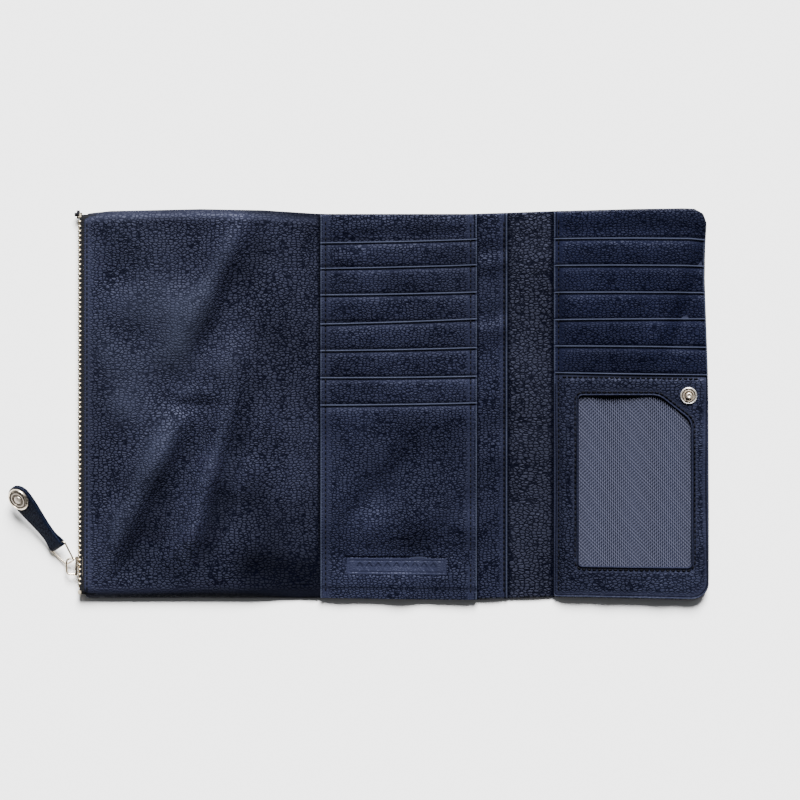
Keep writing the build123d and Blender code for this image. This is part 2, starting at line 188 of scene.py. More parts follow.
TURNED = (0.3, 0.55, 0.85, 1.15, 1.45, 1.75, 2.1, 2.6)


def lines(low, high, step, low_roll=0.0, high_roll=0.0, extra=(), turned=""):
    """Grid positions over a panel: crowded on its rolled edges and even in the middle.

    turned says which ends are turned edges, which need close positions: "low", "high" or both.
    """
    turns = [1 - math.cos(k * math.pi / 10) for k in range(5)]
    start = [low + low_roll * t for t in turns] if low_roll else []
    end = [high - high_roll * t for t in turns] if high_roll else []
    first = low + low_roll
    last = high - high_roll
    count = max(2, int(round((last - first) / step)) + 1)
    every = start + list(np.linspace(first, last, count)) + end + list(extra)
    every += [low + d for d in TURNED] if "low" in turned else []
    every += [high - d for d in TURNED] if "high" in turned else []
    return np.array(sorted(set(round(v, 4) for v in every)))


def roll(distance, radius):
    """The height share of a rolled edge: 0 at its rim, 1 once past its radius."""
    if not radius:
        return np.ones_like(distance)
    inside = np.clip(1 - distance / radius, 0, 1)
    return np.sqrt(np.clip(1 - inside**2, 0, 1))


def turned_edge(distance):
    """The profile of a turned edge: a rounded rim, then the groove where it is pressed flat."""
    rim = 0.45 * np.exp(-(((distance - 0.55) / 0.5) ** 2))
    width = np.where(distance < 1.5, 0.38, 2.4)
    return rim - 0.34 * np.exp(-(((distance - 1.5) / width) ** 2))


def panel(name, xs, ys, top, bottom, material, rolls=(0, 0, 0, 0), corners=(0, 0, 0, 0),
          flat_back=False, curve=None, band=None, turned=(), seams=(), shade=None, smooth_shaded_ends=0.0,
          calm=None):
    """A closed sheet of leather or cloth over a grid.

    top and bottom are heights as functions of (x, y). rolls are the edge radii at the left,
    right, bottom and top, and corners are the corner radii at bottom left, bottom right, top
    right and top left. curve moves the top edge: a function of x. band is the depth below the
    top edge of a smoothed strip of leather. turned names the edges where the leather is turned
    under, which leaves a raised rim with a groove beside it; the rim gets a painted highlight and
    the groove a painted shade. seams are the rows of stitches, by their x, and shade is painted
    shade: how much darker the leather is painted, as where it runs in under another piece, and
    where it is negative, how much lighter, a painted highlight. smooth_shaded_ends is the depth of
    a smooth strip along the top and bottom edges, which is also painted darker, a painted shade,
    and calm
    is where the grain is pressed smooth: a function of (x, y), from 0 to 1.
    """
    rim = 0.12
    x0, x1, y0, y1 = xs[0], xs[-1], ys[0], ys[-1]
    gx, gy = np.meshgrid(xs, ys, indexing="ij")
    x = gx.copy()
    y = gy.copy()
    sides = (gx - x0, x1 - gx, gy - y0, y1 - gy)
    share = np.minimum.reduce([roll(d, r) for d, r in zip(sides, rolls)])
    places = ((x0, y0, 1, 1), (x1, y0, -1, 1), (x1, y1, -1, -1), (x0, y1, 1, -1))
    for (cx, cy, sx, sy), radius in zip(places, corners):
        if not radius:
            continue
        a = 1 - (gx - cx) * sx / radius
        b = 1 - (gy - cy) * sy / radius
        near = (a > 0) & (b > 0)
        pa = np.where(near, a * np.sqrt(np.clip(1 - b**2 / 2, 0, 1)), 0)
        pb = np.where(near, b * np.sqrt(np.clip(1 - a**2 / 2, 0, 1)), 0)
        x = np.where(near, cx + sx * radius * (1 - pa), x)
        y = np.where(near, cy + sy * radius * (1 - pb), y)
        rolled = roll(radius * (1 - np.hypot(pa, pb)), max(rolls))
        share = np.where(near, rolled, share)
    if curve is not None:
        y = y + curve(x) * ease(y0, y1, gy)
    high = top(x, y)
    low = bottom(x, y)
    to_edge = {"left": gx - x0, "right": x1 - gx, "bottom": gy - y0, "top": y1 - gy}
    ridge = np.zeros_like(gx)
    shine = np.zeros_like(gx)
    # Painted highlight on each turned edge's rim and painted shade in the groove beside it.
    for edge in turned:
        profile = turned_edge(to_edge[edge])
        ridge = np.maximum(ridge, profile) + np.minimum(profile, 0)
        shine = np.maximum(shine, np.exp(-(((to_edge[edge] - 0.5) / 0.55) ** 2)))
        shine = shine - 0.9 * np.exp(-(((to_edge[edge] - 1.6) / 0.4) ** 2))
    high = high + ridge
    middle = (high + low) / 2
    share = rim + (1 - rim) * share
    if flat_back:
        middle = low
    z_top = middle + (high - middle) * share
    z_low = middle + (low - middle) * share
    wx, wy = warp(x, y)
    nx, ny = gx.shape
    upper = np.stack([wx, wy, z_top], -1).reshape(-1, 3)
    lower = np.stack([wx, wy, z_low], -1).reshape(-1, 3)
    count = nx * ny
    index = np.arange(count).reshape(nx, ny)
    a = index[:-1, :-1].ravel()
    b = index[1:, :-1].ravel()
    c = index[1:, 1:].ravel()
    d = index[:-1, 1:].ravel()
    faces = list(zip(a, b, c, d))
    faces += [(p + count, s + count, r + count, q + count) for p, q, r, s in faces]
    loop = [*index[:, 0], *index[-1, 1:], *index[-2::-1, -1], *index[0, -2:0:-1]]
    for p, q in zip(loop, loop[1:] + loop[:1]):
        faces.append((q, p, p + count, q + count))
    faces = [tuple(int(v) for v in f) for f in faces]
    if band:
        grain = 0.45 + 0.55 * ease(band * 0.4, band, y1 - gy)
    else:
        grain = np.ones_like(gx)
    worn = 1 - ease(0.0, 1.0, (share - rim) / (1 - rim))
    for seam in seams:
        grain = grain * (1 - 0.8 * hump(gx, seam, 2.1))
    if smooth_shaded_ends:
        inwards = np.minimum(gy - y0, y1 - gy)
        grain = grain * (0.15 + 0.85 * ease(smooth_shaded_ends * 0.7, smooth_shaded_ends * 1.5, inwards))
        # Painted shade: the strip along the top and bottom edges is painted darker.
        shine = shine - 0.55 * ease(smooth_shaded_ends * 1.1, 0.0, inwards)
    if calm is not None:
        grain = grain * (1 - 0.75 * calm(x, y))
    # Painted shade, or painted highlight where shade is negative.
    if shade is not None:
        shine = shine - shade(x, y)
    grain = grain * (1 - 0.7 * np.clip(shine, 0, 1))
    floats = {
        "grain": np.concatenate([grain.ravel(), np.ones(count)]),
        "worn": np.concatenate([worn.ravel(), worn.ravel() * 0.5]),
        # rim carries the painted highlight and the painted shade to the leather's colour.
        "rim": np.concatenate([shine.ravel(), np.zeros(count)]),
    }
    obj = make_object(name, np.concatenate([upper, lower]), faces, material, floats=floats)
    mark_sharp(obj, 62)
    return obj


def moved_to(points, place):
    """Points moved by a 4 x 4 matrix."""
    return np.array(points, float) @ place[:3, :3].T + place[:3, 3]


def lathe(name, rings, place, material):
    """A turned piece from (radius, height) points that start and end on the axis. place is the
    4 x 4 matrix that takes it there."""
    segments = 56
    points = [(0, 0, rings[0][1])]
    faces = []
    for radius, height in rings[1:-1]:
        for k in range(segments):
            turn = 2 * math.pi * k / segments
            points.append((radius * math.cos(turn), radius * math.sin(turn), height))
    points.append((0, 0, rings[-1][1]))
    last = len(points) - 1
    for k in range(segments):
        after = (k + 1) % segments
        faces.append((0, 1 + after, 1 + k))
        for ring in range(len(rings) - 3):
            low = 1 + ring * segments
            high = low + segments
            faces.append((low + k, low + after, high + after, high + k))
        base = 1 + (len(rings) - 3) * segments
        faces.append((base + k, base + after, last))
    obj = make_object(name, moved_to(points, place), faces, material)
    mark_sharp(obj, 40)
    return face_outwards(obj)


def mark_sharp(obj, degrees):
    """Keeps the edges sharper than an angle crisp on a smooth-shaded mesh."""
    work = bmesh.new()
    work.from_mesh(obj.data)
    limit = math.radians(degrees)
    for edge in work.edges:
        if len(edge.link_faces) == 2 and edge.calc_face_angle() > limit:
            edge.smooth = False
    work.to_mesh(obj.data)
    work.free()


def directions(path):
    """The direction of a path at each of its points."""
    ahead = np.gradient(path, axis=0)
    return ahead / np.linalg.norm(ahead, axis=1, keepdims=True)


def tube_faces(rings, size):
    """The side faces between rings of points that follow each other."""
    faces = []
    for start in range(0, (rings - 1) * size, size):
        for k in range(size):
            m = (k + 1) % size
            faces.append((start + k, start + m, start + size + m, start + size + k))
    return faces


def tube(points, radius, sides=6):
    """Points and faces of a round thread along a line of points."""
    path = np.asarray(points, float)
    count = len(path)
    ahead = directions(path)
    up = np.array([0.0, 0.0, 1.0])
    right = np.cross(ahead, up)
    right /= np.linalg.norm(right, axis=1, keepdims=True)
    over = np.cross(right, ahead)
    verts = []
    for k in range(sides):
        turn = 2 * math.pi * k / sides
        verts.append(path + radius * (math.cos(turn) * right + math.sin(turn) * over))
    verts = np.stack(verts, 1).reshape(-1, 3)
    faces = tube_faces(count, sides)
    faces.append(tuple(range(sides))[::-1])
    faces.append(tuple((count - 1) * sides + k for k in range(sides)))
    return verts, faces


def join_meshes(parts):
    """One list of points and one of faces from several (points, faces) pairs."""
    points = []
    faces = []
    start = 0
    for verts, some in parts:
        points.append(np.asarray(verts, float))
        faces += [tuple(v + start for v in f) for f in some]
        start += len(verts)
    return np.concatenate(points), faces


def softened(node, width, material):
    """A copy of a CAD node's mesh with its edges rounded off, to stand for that node."""
    source = frame["nodes"][node]
    work = bmesh.new()
    work.from_mesh(source.data)
    bmesh.ops.remove_doubles(work, verts=work.verts, dist=0.002 * MM)
    bmesh.ops.dissolve_limit(
        work, angle_limit=math.radians(1), verts=work.verts, edges=work.edges
    )
    crisp = [e for e in work.edges if len(e.link_faces) == 2
             and e.calc_face_angle() > math.radians(30)]
    bmesh.ops.bevel(
        work, geom=crisp, offset=width * MM, segments=2, affect="EDGES", clamp_overlap=True
    )
    mesh = bpy.data.meshes.new(node + "_shaped")
    work.to_mesh(mesh)
    work.free()
    obj = placed_object(mesh.name, mesh, material)
    mark_sharp(obj, 50)
    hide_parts(node)
    return obj


# --- Materials -----------------------------------------------------------------------------

class Shader:
    """A material's node tree in the making."""

    def __init__(self, name):
        self.material = bpy.data.materials.new(name)
        self.material.use_nodes = True
        self.tree = self.material.node_tree
        self.surface = self.tree.nodes["Principled BSDF"]
        self.place = self.node("ShaderNodeTexCoord").outputs["Object"]

    def node(self, kind, settings=None, **inputs):
        """Adds a node. Each input is a value, or another node's output to link."""
        made = self.tree.nodes.new(kind)
        for key, value in (settings or {}).items():
            setattr(made, key, value)
        for key, value in inputs.items():
            self.feed(made, key.replace("_", " "), value)
        return made

    def feed(self, node, socket, value):
        target = node.inputs[int(socket[1:])] if socket[1:].isdigit() else node.inputs[socket]
        if isinstance(value, bpy.types.NodeSocket):
            self.tree.links.new(value, target)
        else:
            target.default_value = value

    def math(self, operation, first, second):
        made = self.node("ShaderNodeMath", {"operation": operation}, i0=first, i1=second)
        return made.outputs[0]

    def noise(self, scale, detail, place=None):
        place = place or self.place
        return self.node("ShaderNodeTexNoise", Vector=place, Scale=scale, Detail=detail)

    def vector(self, operation, first, second):
        """Vector arithmetic. second is a vector, or a plain number to scale by."""
        made = self.node("ShaderNodeVectorMath", {"operation": operation}, i0=first)
        self.feed(made, "Scale" if operation == "SCALE" else "i1", second)
        return made.outputs[0]

    def painted(self, name):
        """The values that a mesh's points carry under a name."""
        return self.node("ShaderNodeAttribute", {"attribute_name": name}).outputs["Fac"]

    def spread(self, value, low, high, to_low=0.0, to_high=1.0):
        """Stretches a value's range on to another, smoothly and within its ends."""
        made = self.node(
            "ShaderNodeMapRange", {"interpolation_type": "SMOOTHSTEP"}, i0=value, i1=low, i2=high,
            i3=to_low, i4=to_high,
        )
        return made.outputs[0]

    def mix(self, share, first, second):
        made = self.node("ShaderNodeMix", {"data_type": "RGBA"}, i0=share, i6=first, i7=second)
        return made.outputs[2]

    def bump(self, height, distance):
        made = self.node("ShaderNodeBump", Strength=1.0, Distance=distance * MM, Height=height)
        return made.outputs["Normal"]

    def set(self, **values):
        for key, value in values.items():
            self.feed(self.surface, key.replace("_", " "), value)


def per_metre(size):
    """A texture scale whose cells are about this many millimetres."""
    return 1.0 / (size * MM)


def rgba(red, green, blue):
    return (red, green, blue, 1.0)


def tinted(colour, share):
    """A colour made lighter or darker by a share."""
    return tuple(c * share for c in colour[:3]) + (1.0,)


# The colour of painted shade, painted into the grain's creases and where leather runs in under
# another piece.
PAINTED_SHADE = rgba(0.0003, 0.0004, 0.0020)
# The colour of painted highlight, painted on turned rims and on the pouch's pale patches.
RIM_HIGHLIGHT_SKIN = rgba(0.019, 0.022, 0.036)
BLUE_GLOSS = rgba(0.68, 0.73, 1.0)
# A darker reflection tint, painted into the grain's creases as painted shade.
CREASE_GLOSS = rgba(0.10, 0.12, 0.21)


def leather(name, cell, depth, light, shine):
    """Pebbled leather: rounded grains with creases between them, which are painted darker, a
    painted shade. cell is a grain's size and depth the height of its relief, in millimetres."""
    s = Shader(name)
    roughness = 0.47
    drift = s.noise(per_metre(26), 2.0).outputs["Color"]
    pushed = s.vector("SCALE", s.vector("SUBTRACT", drift, (0.5, 0.5, 0.5)), 5 * MM)
    place = s.vector("MULTIPLY", s.vector("ADD", s.place, pushed), (0.8, 1.25, 1.0))
    fine = s.noise(per_metre(1.2), 2.0, place).outputs["Color"]
    ragged = s.vector("ADD", place, s.vector("SCALE", fine, 0.4 * MM))

    def cells(size, randomness):
        """How far each place is from the edges of cells of a size."""
        return s.node(
            "ShaderNodeTexVoronoi", {"feature": "DISTANCE_TO_EDGE"}, Vector=ragged,
            Scale=per_metre(size), Randomness=randomness,
        ).outputs["Distance"]

    pebble = s.spread(cells(cell, 0.78), 0.0, 0.22)
    pebble_small = s.spread(cells(cell * 0.52, 1.0), 0.0, 0.2)
    pores = s.noise(per_metre(0.45), 2.0).outputs["Fac"]
    both = s.math("ADD", s.math("MULTIPLY", pebble, 0.86), s.math("MULTIPLY", pebble_small, 0.14))
    grain = s.painted("grain")
    worn = s.painted("worn")
    patches = s.spread(s.noise(per_metre(40), 2.0).outputs["Fac"], 0.3, 0.7, 0.82, 1.0)
    strength = s.math("MULTIPLY", grain, patches)
    relief = s.math("MULTIPLY", both, strength)
    relief = s.math("ADD", relief, s.math("MULTIPLY", pores, 0.06))
    normal = s.bump(relief, depth)
    crease = s.math("MULTIPLY", s.math("SUBTRACT", 1.0, both), strength)
    tone = s.spread(s.noise(per_metre(80), 3.0).outputs["Fac"], 0.32, 0.66)
    skin = s.mix(tone, tinted(light, 1.06), tinted(light, 0.72))
    skin = s.mix(s.math("MULTIPLY", worn, 0.3), skin, tinted(light, 1.9))
    # The rim values paint a highlight where they are positive and shade where they are negative.
    edge = s.painted("rim")
    skin = s.mix(s.spread(edge, 0.0, 1.0), skin, RIM_HIGHLIGHT_SKIN)
    painted_shade_share = s.spread(edge, 0.0, -0.9)
    skin = s.mix(painted_shade_share, skin, PAINTED_SHADE)
    # Painted shade: the grain's creases are painted darker.
    sunk = s.spread(crease, 0.17, 0.9, 0.0, 0.91)
    s.set(Base_Color=s.mix(sunk, skin, PAINTED_SHADE))
    gloss = s.spread(both, 0.1, 0.9, roughness + 0.35, roughness - 0.04)
    gloss = s.math("ADD", gloss, s.math("MULTIPLY", painted_shade_share, 0.4))
    s.set(Roughness=s.math("ADD", gloss, s.spread(tone, 0.0, 1.0, -0.03, 0.05)))
    s.set(Normal=normal, Specular_IOR_Level=shine, Specular_Tint=BLUE_GLOSS)
    # Painted shade: the reflection is tinted darker in the grain's creases.
    s.set(Specular_Tint=s.mix(sunk, BLUE_GLOSS, CREASE_GLOSS))
    return s.material


def metal(name, colour, roughness, scratch=0.002, brushed=(1.0, 1.0, 1.0)):
    """Plated metal with fine wear in its polish."""
    s = Shader(name)
    marks = s.noise(per_metre(0.35), 4.0, s.vector("MULTIPLY", s.place, brushed)).outputs["Fac"]
    cloud = s.noise(per_metre(3.0), 3.0).outputs["Fac"]
    s.set(Metallic=1.0)
    s.set(Base_Color=s.mix(s.spread(cloud, 0.35, 0.7), colour, tinted(colour, 0.8)))
    s.set(Roughness=s.spread(marks, 0.3, 0.75, roughness * 0.7, roughness * 1.5))
    s.set(Normal=s.bump(marks, scratch))
    return s.material


def cloth(name, pitch, dark, light):
    """Plain woven cloth: threads over and under in a fine square weave."""
    s = Shader(name)
    bands = []
    for direction in ("X", "Y"):
        wave = s.node(
            "ShaderNodeTexWave", {"bands_direction": direction, "wave_profile": "SIN"},
            Vector=s.place, Scale=per_metre(pitch) * 0.16, Distortion=0.6,
        )
        s.feed(wave, "Detail Scale", 3.0)
        bands.append(wave.outputs["Fac"])
    weave = s.math("ADD", s.math("MULTIPLY", bands[0], 0.5), s.math("MULTIPLY", bands[1], 0.5))
    fuzz = s.noise(per_metre(0.3), 3.0).outputs["Fac"]
    lit = s.math("MULTIPLY", weave, s.spread(fuzz, 0.2, 0.8, 0.6, 1.0))
    s.set(Base_Color=s.mix(lit, dark, light))
    s.set(Roughness=s.spread(fuzz, 0.3, 0.7, 0.72, 0.88))
    s.set(Normal=s.bump(s.math("ADD", weave, s.math("MULTIPLY", fuzz, 0.3)), 0.12))
    s.set(Sheen_Weight=0.02, Sheen_Roughness=0.5, Specular_IOR_Level=0.15)
    return s.material


def thread(name, dark, light):
    """Twisted sewing or mesh thread."""
    s = Shader(name)
    twist = s.node(
        "ShaderNodeTexWave", {"bands_direction": "DIAGONAL"}, Vector=s.place,
        Scale=per_metre(0.5) * 0.16, Distortion=0.4,
    ).outputs["Fac"]
    fuzz = s.noise(per_metre(0.8), 3.0).outputs["Fac"]
    s.set(Base_Color=s.mix(s.math("MULTIPLY", twist, fuzz), light, dark))
    s.set(Roughness=s.spread(fuzz, 0.3, 0.7, 0.6, 0.8), Normal=s.bump(twist, 0.05))
    s.set(Specular_IOR_Level=0.08)
    return s.material


def backdrop(name):
    """A plain pale floor with the faintest mottling."""
    s = Shader(name)
    cloud = s.noise(4.0, 2.0).outputs["Fac"]
    s.set(Base_Color=s.mix(cloud, rgba(0.965, 0.965, 0.965), rgba(0.98, 0.98, 0.98)))
    s.set(Roughness=0.9, Specular_IOR_Level=0.1)
    return s.material


NAVY = leather("navy_leather", 2.05, 0.40, rgba(0.0098, 0.0108, 0.0215), shine=0.129)
NAVY_PANEL = leather("navy_panel_leather", 1.9, 0.36, rgba(0.0077, 0.0088, 0.0193), shine=0.095)
NAVY_FLAP = leather("navy_flap_leather", 1.8, 0.33, rgba(0.0045, 0.0055, 0.0148), shine=0.064)
NAVY_FRAME = leather("navy_frame_leather", 2.1, 0.38, rgba(0.0090, 0.0102, 0.0210), shine=0.095)
NAVY_SPINE = leather("navy_spine_leather", 2.3, 0.46, rgba(0.0094, 0.0102, 0.0181), shine=0.101)
STRAP_LEATHER = leather("strap_leather", 1.3, 0.10, rgba(0.0034, 0.0057, 0.0146), shine=0.090)
LINING = cloth("navy_lining", 0.6, rgba(0.004, 0.005, 0.013), rgba(0.012, 0.015, 0.034))
TAPE = cloth("zip_tape_cloth", 0.8, rgba(0.0008, 0.0008, 0.0016), rgba(0.0030, 0.0030, 0.0050))
STITCH = thread("navy_thread", rgba(0.0002, 0.0002, 0.0008), rgba(0.0005, 0.0006, 0.0018))
MESH_THREAD = thread("mesh_thread", rgba(0.011, 0.013, 0.024), rgba(0.062, 0.065, 0.096))
BRASS = metal("pale_brass", rgba(0.95, 0.82, 0.60), 0.40)
GOLD = metal("pale_gold", rgba(0.84, 0.73, 0.58), 0.26)
BRUSHED = metal("brushed_gold", rgba(0.56, 0.49, 0.41), 0.4, 0.006, (1.0, 6.0, 1.0))
# A dark plating painted into the metal's grooves, a painted shade.
GROOVE_SHADE = metal("groove_shade_plating", rgba(0.15, 0.125, 0.10), 0.5)
NICKEL = metal("nickel", rgba(0.90, 0.88, 0.85), 0.38)


def dress(obj, body, slot, *nodes):
    """Lets a piece ride on a body and hides the CAD nodes it stands for; its finish slot is not
    used.
    """
    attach(obj, body)
    if nodes:
        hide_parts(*nodes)
    return obj


def bend(obj, first, second, middle, reach, slot, *nodes):
    """Bakes a piece's placement into its mesh and hides the CAD nodes it stands for; the fold line
    at x = middle and the two bodies are not used.
    """
    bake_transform(obj)
    if nodes:
        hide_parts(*nodes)
    return obj


# --- Heights of the leather surfaces -------------------------------------------------------

POUCH_FOLDS = (
    (-130, 30, -92, 108, 8.0, 3.4),
    (-127, -98, -99, 2, 6.0, 3.3),
    (-178, -106, -133, -18, 7.5, 3.8),
    (-138, 2.5, -114, 2.5, 4.0, 1.2),
    (-128, -72, -150, -92, 7.0, 1.6),
    (-190, 60, -150, 40, 9.0, 0.7),
    (-100, -60, -84, -40, 7.0, 1.2),
    (-98, -96, -60, -98, 10.0, 2.0),
    (-88, 98, -60, 94, 8.0, 1.4),
    (-60, -84, -58, 60, 3.0, 1.0),
    (-66, 60, -58, 112, 3.0, 1.0),
)


def pouch_uneven(x, y):
    """The folds and waves of the pouch's soft front."""
    return ((folds(x, y, POUCH_FOLDS[:-2]) + waves(x, y, 3, 28, 95, 1.1))
            * ease(POUCH_EDGE + 3, POUCH_EDGE + 20, x))


# The pouch's patches of painted light, painted paler: how much paler, the middle's x and y, and the
# reach in x and y.
PAINTED_LIGHT_PATCHES = ((0.34, -158, 42, 42, 78), (0.20, -138, 18, 16, 22), (0.16, -100, 55, 13, 40))


def pouch_painted_light_and_shade(x, y):
    """Painted shade and painted light on the pouch's leather: how much darker it is painted than
    its
    mean, matched to the photo: darker in the hollows, at the lower right and near the fold, a
    painted shade, and paler on the crests and in patches, a painted light."""
    crests = 0.30 * np.clip(pouch_uneven(x, y) / 3.0, -1.2, 1.0)
    lower_right = 0.42 * ease(-20, -108, y) * ease(-178, -112, x)
    near_fold = 0.16 * ease(FOLD_B - 26, FOLD_B - 6, x)
    total = lower_right + near_fold + 0.06 - crests
    for paler, middle_x, middle_y, reach_x, reach_y in PAINTED_LIGHT_PATCHES:
        spot = -(((x - middle_x) / reach_x) ** 2) - ((y - middle_y) / reach_y) ** 2
        total = total - paler * np.exp(spot)
    return total


def pouch_top(x, y):
    """The pouch's front: full over the pouch, sinking across the fold to the card panel."""
    full = POUCH_HIGH[2] - 0.8
    sunk = 3.0
    height = full + (sunk - full) * ease(FOLD_B - 12, FOLD_A + 1, x)
    crease = 0.6 * np.exp(-((x - FOLD_A - 2.5) / 2.6) ** 2)
    rise = 0.8 * ease(FOLD_A + 4, CARD_LOW[0], x)
    soft = ease(FOLD_A + 2, FOLD_B - 14, x)
    uneven = pouch_uneven(x, y)
    edge = ease(0, 14, HALF - np.abs(y))
    wrinkles = folds(x, y, POUCH_FOLDS[-2:]) * ease(FOLD_A, FOLD_A + 4, x) * edge
    tuck = 0.9 * ease(CARD_LOW[0] - 2.2, CARD_LOW[0] - 0.2, x)
    height = height - crease + rise + uneven * soft * edge + wrinkles - tuck
    return np.maximum(height, LEATHER + 1.2)


def pouch_under(x, y):
    """The front leather's inner side: near its outer face, except at the sewn edges."""
    inner = pouch_top(x, y) - LEATHER
    seam = LEATHER + 0.1
    clear = ease(1.6, 6.0, HALF - np.abs(y)) * ease(FOLD_B - 6, FOLD_B - 16, x)
    return seam + (inner - seam) * clear


def level(z):
    """The height function of a flat surface."""
    return lambda x, y: z + 0 * x


CENTRE_STITCH_LEFT = CARD_LOW[0] + 3.3
CENTRE_STITCH_RIGHT = CARD_HIGH[0] - 3.9
NOTE_STITCH = NOTE_HIGH[0] - 1.6
FLAP_STITCH_LEFT = FLAP_LEFT + 3.0
POUCH_STITCH = POUCH_EDGE + 1.9


PINCH_LINES = (-1.1, -0.7, -0.35, 0.0, 0.35, 0.7, 1.1)


def beside(lines_x):
    """The grid positions that a row of stitches needs beside it."""
    return [line + d for line in lines_x for d in PINCH_LINES]


def pinch(x, lines_x):
    """The shallow groove that a row of stitches pulls into leather."""
    total = np.zeros_like(np.asarray(x, float))
    for line in lines_x:
        total = total - 0.45 * np.exp(-((x - line) / 0.62) ** 2)
    return total


SLOT_LENGTH = 24.6
SLOT_DROP = 1.384
SLOT_LEATHER = 0.9
SLOT_BAND = 5.0
SLOT_TUCK = 6.5
PLATE_SLOPE = 0.25
LOZENGE_PITCH = 5.6


def pillow(depth):
    """The soft bulge of a slot's face between its edge and the next slot's."""
    return 0.42 * np.sin(np.clip(depth / 17.0, 0, 1) * math.pi)


def ease_line(depth):
    """How far down its slope a slot's face is, from 0 at its edge to 1 at its foot."""
    return np.clip(depth / SLOT_LENGTH, -0.1, 1.0)


CENTRE_FOLDS = (
    (-44, -76, 6, -22, 8.0, 1.5),
    (0, -92, 40, -52, 8.0, 1.1),
    (-54, -84, 50, -82, 10.0, 1.6),
    (-40, 107, 40, 109, 4.0, 0.8),
    (-34, 40, -20, 46, 5.0, -0.7),
    (-44, 92, -20, 94, 4.0, -0.6),
)
NOTE_FOLDS = (
    (70, 92, 40, 88, 4.0, 1.2),
    (70, 52, 40, 47, 5.0, 1.2),
    (70, -20, 40, -28, 9.0, 0.8),
)
FLAP_FOLDS = (
    (160, 34, 182, 100, 6.0, 1.5),
    (92, 110, 190, 108, 5.0, 0.8),
)


def panel_relief(x, y, seed, items):
    return folds(x, y, items) + waves(x, y, seed, 16, 55, 0.48)


# --- Leather pieces ------------------------------------------------------------------------

def back_sheets():
    """The outer leather, cut at the strips' middles and the centre into lengths that each span one
    fold."""
    edge = 0.55
    ys = lines(-HALF, HALF, 7.0, edge, edge)
    made = []
    spans = (
        ("outer_leather_pouch", POUCH_EDGE, STRIP_MIDDLE, (edge, 0), (3, 0, 0, 3)),
        ("outer_leather_centre_left", STRIP_MIDDLE, 0.0, (0, 0), (0, 0, 0, 0)),
        ("outer_leather_centre_right", 0.0, SPINE_MIDDLE, (0, 0), (0, 0, 0, 0)),
        ("outer_leather_flap", SPINE_MIDDLE, FLAP_EDGE, (0, edge), (0, 9, 9, 0)),
    )
    for name, x0, x1, (left, right), corners in spans:
        bends = [v for v in np.arange(FOLD_B - 9, SPINE_D + 9, 1.0)
                 if x0 < v < x1 and min(abs(v - f) for f in (FOLD_A, FOLD_B, SPINE_C, SPINE_D)) < 7]
        xs = lines(x0, x1, 7.0, left, right, bends)
        sheet = panel(name, xs, ys, level(LEATHER), level(0.0), NAVY, (left, right, edge, edge),
                      corners)
        made.append(sheet)
    pouch_sheet, left_sheet, right_sheet, flap_sheet = made
    cut_hole(pouch_sheet, SOCKET[0], SOCKET[1], (SOCKET_HIGH[0] - SOCKET_LOW[0]) / 2 + 0.05)
    bend(pouch_sheet, "pouch", "fold_strip", FOLD_B, 4.0, "leather", "pouch_back", "fold_back")
    bend(left_sheet, "fold_strip", "centre_panel", FOLD_A, 4.0, "leather", "centre_back")
    bend(right_sheet, "centre_panel", "spine", SPINE_C, 4.0, "leather", "spine_back")
    bend(flap_sheet, "spine", "flap", SPINE_D, 4.0, "leather", "flap_back")


def cut_hole(obj, x, y, radius):
    """Cuts a round hole straight through a sheet."""
    bpy.ops.mesh.primitive_cylinder_add(
        vertices=48, radius=radius * MM, depth=20 * MM, location=(x * MM, y * MM, 0)
    )
    cutter = bpy.context.active_object
    tool = obj.modifiers.new("hole", "BOOLEAN")
    tool.object = cutter
    tool.operation = "DIFFERENCE"
    tool.solver = "EXACT"
    graph = bpy.context.evaluated_depsgraph_get()
    mesh = bpy.data.meshes.new_from_object(obj.evaluated_get(graph))
    obj.modifiers.clear()
    obj.data = mesh
    bpy.data.objects.remove(cutter)
    mark_sharp(obj, 50)


def pouch_leather():
    """The pouch's front leather, which runs on over the fold to the card panel."""
    end_roll = 5.5
    foot_roll = 9.0
    ys = lines(-HALF, HALF, 2.2, foot_roll, end_roll)
    xs = lines(POUCH_EDGE, STRIP_MIDDLE, 2.0, 1.1, 0, beside((POUCH_STITCH,)), "low")
    # The front is painted with painted shade and painted light across the pouch, and painted darker
    # along its top and bottom ends, a painted shade.
    front = panel("pouch_front_leather", xs, ys, pouch_top, pouch_under, NAVY,
                  (1.1, 0, foot_roll, end_roll), (3.0, 0, 0, 3.0), flat_back=True,
                  seams=(POUCH_STITCH,), smooth_shaded_ends=5.0, shade=pouch_painted_light_and_shade)
    bend(front, "pouch", "fold_strip", FOLD_B, 8.0, "leather", "pouch_front", "fold_front")
    xs = lines(STRIP_MIDDLE, CARD_LOW[0] + 3, 1.6)
    # The fold leather is painted with a painted shadow along the card panel's edge, and with the
    # pouch's painted shade and light.
    fold = panel("fold_leather", xs, ys, pouch_top, pouch_under, NAVY,
                 (0, 0, foot_roll, end_roll), flat_back=True, smooth_shaded_ends=5.0,
                 shade=lambda x, y: 0.9 * hump(x, CARD_LOW[0] - 0.3, 1.1) + pouch_painted_light_and_shade(x, y))
    bend(fold, "fold_strip", "centre_panel", FOLD_A, 6.5, "leather")


